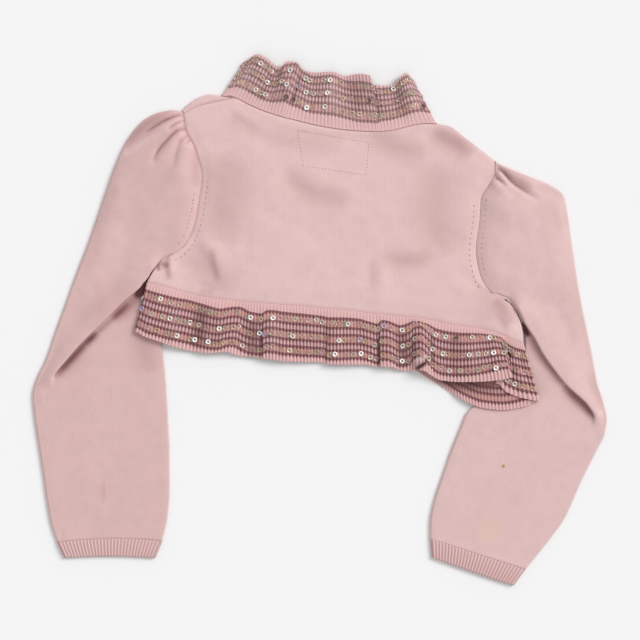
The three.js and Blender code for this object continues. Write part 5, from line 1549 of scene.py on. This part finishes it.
STITCH_SIDES = 6
STITCH_SECTIONS = ((-0.5, 0.25), (-0.36, 0.85), (0.0, 1.0), (0.36, 0.85), (0.5, 0.25))  # along it, how thick
STITCH_AHEAD = 0.3


def stitch_run(path, step, length, width):
    """Places for stitches along a path of points: centre and direction of each, its length and width."""
    lengths = run_lengths(path)
    places = np.arange(step / 2, lengths[-1], step)
    centres, ahead = (
        np.stack([np.interp(spots, lengths, column) for column in path.T], axis=-1)
        for spots in (places, places + STITCH_AHEAD)
    )
    return [(centre, following - centre, length, width) for centre, following in zip(centres, ahead)]


def make_stitches(name, runs, material):
    """Small rounded stitches joined in one mesh."""
    vertices, faces = [], []
    for centre, direction, length, width in runs:
        direction = unit(direction)
        side = unit(np.cross(direction, [0, 0, 1.0]))
        up = np.cross(side, direction)
        first = len(vertices)
        for along, share in STITCH_SECTIONS:
            for k in range(STITCH_SIDES):
                angle = math.tau * k / STITCH_SIDES
                offset = side * math.cos(angle) + up * math.sin(angle) * 0.7
                sink = up * (-0.25 * width * (2 * along) ** 2)
                vertices.append(centre + direction * along * length + offset * share * width / 2 + sink)
        for here in range(first, len(vertices) - STITCH_SIDES, STITCH_SIDES):
            there = here + STITCH_SIDES
            for k in range(STITCH_SIDES):
                n = (k + 1) % STITCH_SIDES
                faces.append([here + k, here + n, there + n, there + k])
    piece = make_piece(name, np.array(vertices) * MM, np.array(faces))
    piece.data.materials.append(material)
    return piece


def surface_heights(points, where):
    """Height of a piece's upper face over each place, from its nearest grid point."""
    flat = points.reshape(-1, 3)
    heights = []
    for x, y in where:
        near = np.argmin((flat[:, 0] - x) ** 2 + (flat[:, 1] - y) ** 2 - flat[:, 2] * 0.01)
        heights.append(flat[near, 2])
    return np.array(heights)


def dress(piece, material, slot, *nodes):
    """Gives a piece its material and body, and hides the nodes that it stands for; slot is not used."""
    if material is not None:
        piece.data.materials.clear()
        piece.data.materials.append(material)
    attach(piece, "root")
    if nodes:
        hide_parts(*nodes)


SLEEVE_STAINS_LEFT = [
    (-173, -137, 2.6, 12, tint(192, 152, 134), 0.35),
    # A broad patch a little darker on the sleeve below the armpit
    (-150, 20, 20, 14, tint(205, 168, 165), 0.3),
]
SLEEVE_STAINS_RIGHT = [
    (146.4, -116.8, 1.9, 2.0, tint(176, 128, 80), 0.8),
    (135, -168, 12, 13, tint(216, 190, 164), 0.36),
]

back_knit = jersey("back_knit", PINK)
left_knit = jersey("left_sleeve_knit", tint(210, 175, 173), SLEEVE_STAINS_LEFT)
right_knit = jersey("right_sleeve_knit", tint(215, 182, 180), SLEEVE_STAINS_RIGHT)
cuff_knit = rib_knit("cuff_knit", tint(212, 177, 175), CUFF_RIB_PITCH)
hem_knit = striped_rib("hem_trim_knit", HEM_DARK, 43, 1)
# The neck trim gets painted light by its last argument
neck_knit = striped_rib("neck_trim_knit", NECK_DARK, 44, -1, 0.16)
film = sequin_film()
seam_thread = thread("seam_thread", tint(196, 152, 150))
mark_thread = thread("mark_thread", tint(212, 176, 174))
dark_thread = thread("stitch_thread", tint(182, 134, 134))

back, back_grid = make_back()
left_front, left_flap = make_left_front()
right_front = make_right_front()
left_sleeve, left_grid = make_sleeve(
    "left_sleeve_tube", LEFT_SLEEVE, LEFT_ARMHOLE, LEFT_GRAIN, LEFT_GATHERS, LEFT_CREASES, LEFT_SHADES,
    LEFT_TUCK_SHADES, LEFT_HEAD, 21)
right_sleeve, right_grid = make_sleeve(
    "right_sleeve_tube", RIGHT_SLEEVE, RIGHT_ARMHOLE, RIGHT_GRAIN, RIGHT_GATHERS, RIGHT_CREASES, RIGHT_SHADES,
    RIGHT_TUCK_SHADES, RIGHT_HEAD, 31)
left_cuff = make_cuff("left_cuff_band", LEFT_CUFF)
right_cuff = make_cuff("right_cuff_band", RIGHT_CUFF)
for piece, knit, slot, node in (
    (back, back_knit, "jersey", "back"), (left_front, back_knit, "jersey", "left_front"),
    (left_flap, back_knit, "jersey", "left_front"), (right_front, back_knit, "jersey", "right_front"),
    (left_sleeve, left_knit, "jersey", "left_sleeve"), (right_sleeve, right_knit, "jersey", "right_sleeve"),
    (left_cuff, cuff_knit, "cuff_rib", "left_cuff"), (right_cuff, cuff_knit, "cuff_rib", "right_cuff"),
):
    dress(piece, knit, slot, node)


def neck_shift(along):
    """How far the neck's stripes lie towards its edge."""
    return stripe_shift(neck_surface, NECK_WAVES, along, NECK_DEPTH)


def hem_shift(along):
    """How far the hem's stripes lie towards its edge."""
    return stripe_shift(hem_surface, HEM_WAVES, along, HEM_DEPTH)


neck_trim, neck_lifted = make_trim(
    "neck_ruffle", neck_surface, NECK_DEPTH, NECK_CREASES, NECK_SHADES, (), neck_shift, 41, False)
dress(neck_trim, neck_knit, "striped_trim", "neck_trim")
hem_trim, hem_lifted = make_trim(
    "hem_flounce", hem_surface, HEM_DEPTH, HEM_CREASES, HEM_SHADES, HEM_INSIDE_SHADES, hem_shift, 51, True)
dress(hem_trim, hem_knit, "striped_trim", "hem_trim")
NECK_CHOSEN = [(GLINT_LOOK, NECK_GLINTS), (SOFT_GLINT_LOOK, NECK_SOFT_GLINTS), (DIM_LOOK, NECK_DIM)]
HEM_CHOSEN = [(GLINT_LOOK, HEM_GLINTS), (SOFT_GLINT_LOOK, HEM_SOFT_GLINTS), (DIM_LOOK, HEM_DIM)]
neck_sequins = make_sequins(
    "neck_sequins", neck_surface, neck_lifted, 1, NECK_DARK, neck_shift, NECK_CHOSEN, 61)
dress(neck_sequins, film, "striped_trim")
hem_sequins = make_sequins("hem_sequins", hem_surface, hem_lifted, -1, HEM_DARK, hem_shift, HEM_CHOSEN, 71)
dress(hem_sequins, film, "striped_trim")


def lay(path, grids, above):
    """A path in plan laid on the upper face of grids of points, that much above their middle."""
    return np.column_stack([path, surface_heights(grids, path) + above])


SEAM_STEP = 1.25
SEAM_STITCH = 1.9
SEAM_STITCH_WIDTH = 1.5
SHOULDER_STITCH_WIDTH = 2.2
SEAM_DEEP = 0.34  # how far the stitches of a seam lie under the back's middle
NECK_SEAM_RAISED = 0.26  # how much higher the neck seam's stitches lie
shares = np.linspace(0, 1, 90)
left_armhole = smooth_path(LEFT_ARMHOLE - [0.2, -0.15])(shares)
right_armhole = smooth_path(RIGHT_ARMHOLE + [0.25, 0.05])(shares)
left_shoulder = smooth_path(np.vstack([LEFT_SHOULDER_SEAM, LEFT_SEAM_END]) + [-0.05, 0.12])(shares)
neck_run = np.linspace(neck_surface.row_places[BACK_NECK_ROW], before_fold(right_neck_fold), 120)
neck_seam = neck_surface.point(neck_run, np.full(120, -STITCH_SHARE * SEAM_GAP / NECK_DEPTH))[:, :2]
hem_run = np.linspace(after_fold(left_hem_fold), before_fold(right_hem_fold), 160)
hem_seam = hem_surface.point(hem_run, np.full(160, -STITCH_SHARE * SEAM_GAP / HEM_DEPTH))
seam_level = BACK_LEVEL - SEAM_DEEP
runs = []
for path, raised in (
    (left_armhole, 0), (right_armhole, 0), (left_shoulder, 0), (neck_seam, NECK_SEAM_RAISED),
):
    path = np.column_stack([path, np.full(len(path), seam_level + raised)])
    runs += stitch_run(path, SEAM_STEP, SEAM_STITCH, SEAM_STITCH_WIDTH)
runs += stitch_run(hem_seam - [0, 0, SEAM_DEEP], SEAM_STEP, SEAM_STITCH, SEAM_STITCH_WIDTH)
shoulder_end = smooth_path([(-79, 178.6), (-73, 179), (-66, 177.8)])(shares[::6])
shoulder_end = np.column_stack([shoulder_end, np.full(len(shoulder_end), seam_level + NECK_SEAM_RAISED)])
runs += stitch_run(shoulder_end, SEAM_STEP, SEAM_STITCH, SHOULDER_STITCH_WIDTH)
seams = make_stitches("seam_stitches", runs, seam_thread)
dress(seams, None, "jersey")

# The stitched outline under the neck
OUTLINE_CORNERS = [(-17.9, 151.4), (39, 141.6), (36.8, 115.7), (-13.6, 123.2), (-17.9, 151.4)]
OUTLINE_STEP = 2.6
OUTLINE_STITCH = 1.6
OUTLINE_WIDTH = 0.5
outline_runs = []
for start, end in zip(OUTLINE_CORNERS, OUTLINE_CORNERS[1:]):
    side = np.array(start) + np.linspace(0, 1, 40)[:, None] * (np.array(end) - start)
    path = lay(side, back_grid, KNIT / 2 - 0.02)
    outline_runs += stitch_run(path, OUTLINE_STEP, OUTLINE_STITCH, OUTLINE_WIDTH)
outline = make_stitches("back_stitching", outline_runs, dark_thread)
dress(outline, None, "jersey")


def beside(armhole, distance, start, end):
    """A path that far beside an armhole, between two shares of it; to its left, seen on the way down."""
    path = smooth_path(armhole)(np.linspace(start, end, 80))
    along = unit(np.gradient(path, axis=0))
    return path + np.column_stack([along[:, 1], -along[:, 0]]) * -distance


# Small shaping marks on both sides of the armholes
MARK_STEP = 4.4
MARK_LENGTH = 2.3
MARK_WIDTH = 0.9
mark_runs = []
for armhole, distance, start, end, grid in (
    (LEFT_ARMHOLE, -4.6, 0.34, 0.86, left_grid), (LEFT_ARMHOLE, 5.0, 0.42, 0.93, back_grid),
    (RIGHT_ARMHOLE, 4.6, 0.24, 0.80, right_grid), (RIGHT_ARMHOLE, -5.0, 0.3, 0.86, back_grid),
):
    path = lay(beside(armhole, distance, start, end), grid, KNIT / 2 + 0.12)
    mark_runs += stitch_run(path, MARK_STEP, MARK_LENGTH, MARK_WIDTH)
marks = make_stitches("shaping_marks", mark_runs, mark_thread)
dress(marks, None, "jersey")

# Floor, light and camera
PIXELS = 640
PIXEL_SIZE = 0.8  # millimetres that a pixel of the photograph covers
CAMERA_HEIGHT = 2.0
SENSOR = 36
FLOOR_SIZE = 6.0
FLOOR_BELOW = 0.00005
LIGHT_TURN = math.radians(30)  # from the right towards the top
LIGHT_HEIGHT = math.radians(38)
LIGHT_SPREAD = math.radians(28)
LIGHT_STRENGTH = 2.06
SKY_STRENGTH = 0.66
floor_corners = np.array([[-1, -1, 0], [1, -1, 0], [1, 1, 0], [-1, 1, 0]]) * FLOOR_SIZE / 2
floor = make_piece("floor", floor_corners - [0, 0, FLOOR_BELOW], np.array([[0, 1, 2, 3]]))
floor.data.materials.append(floor_paint())

camera_data = bpy.data.cameras.new("camera")
camera_data.sensor_width = SENSOR
camera_data.lens = SENSOR * CAMERA_HEIGHT / (PIXELS * PIXEL_SIZE * MM)
camera_data.clip_end = 20
camera = bpy.data.objects.new("camera", camera_data)
camera.location = (0, 0, CAMERA_HEIGHT)
bpy.context.scene.collection.objects.link(camera)
bpy.context.scene.camera = camera

key_data = bpy.data.lights.new("key", "SUN")
key_data.energy = LIGHT_STRENGTH
key_data.angle = LIGHT_SPREAD
key = bpy.data.objects.new("key", key_data)
key.rotation_euler = (math.pi / 2 - LIGHT_HEIGHT, 0, LIGHT_TURN + math.pi / 2)
bpy.context.scene.collection.objects.link(key)
world = bpy.data.worlds.new("studio")
bpy.context.scene.world = world
world.use_nodes = True
sky = world.node_tree.nodes["Background"]
sky.inputs[0].default_value = (1, 1, 1, 1)
sky.inputs[1].default_value = SKY_STRENGTH
bpy.context.scene.view_settings.view_transform = "Standard"
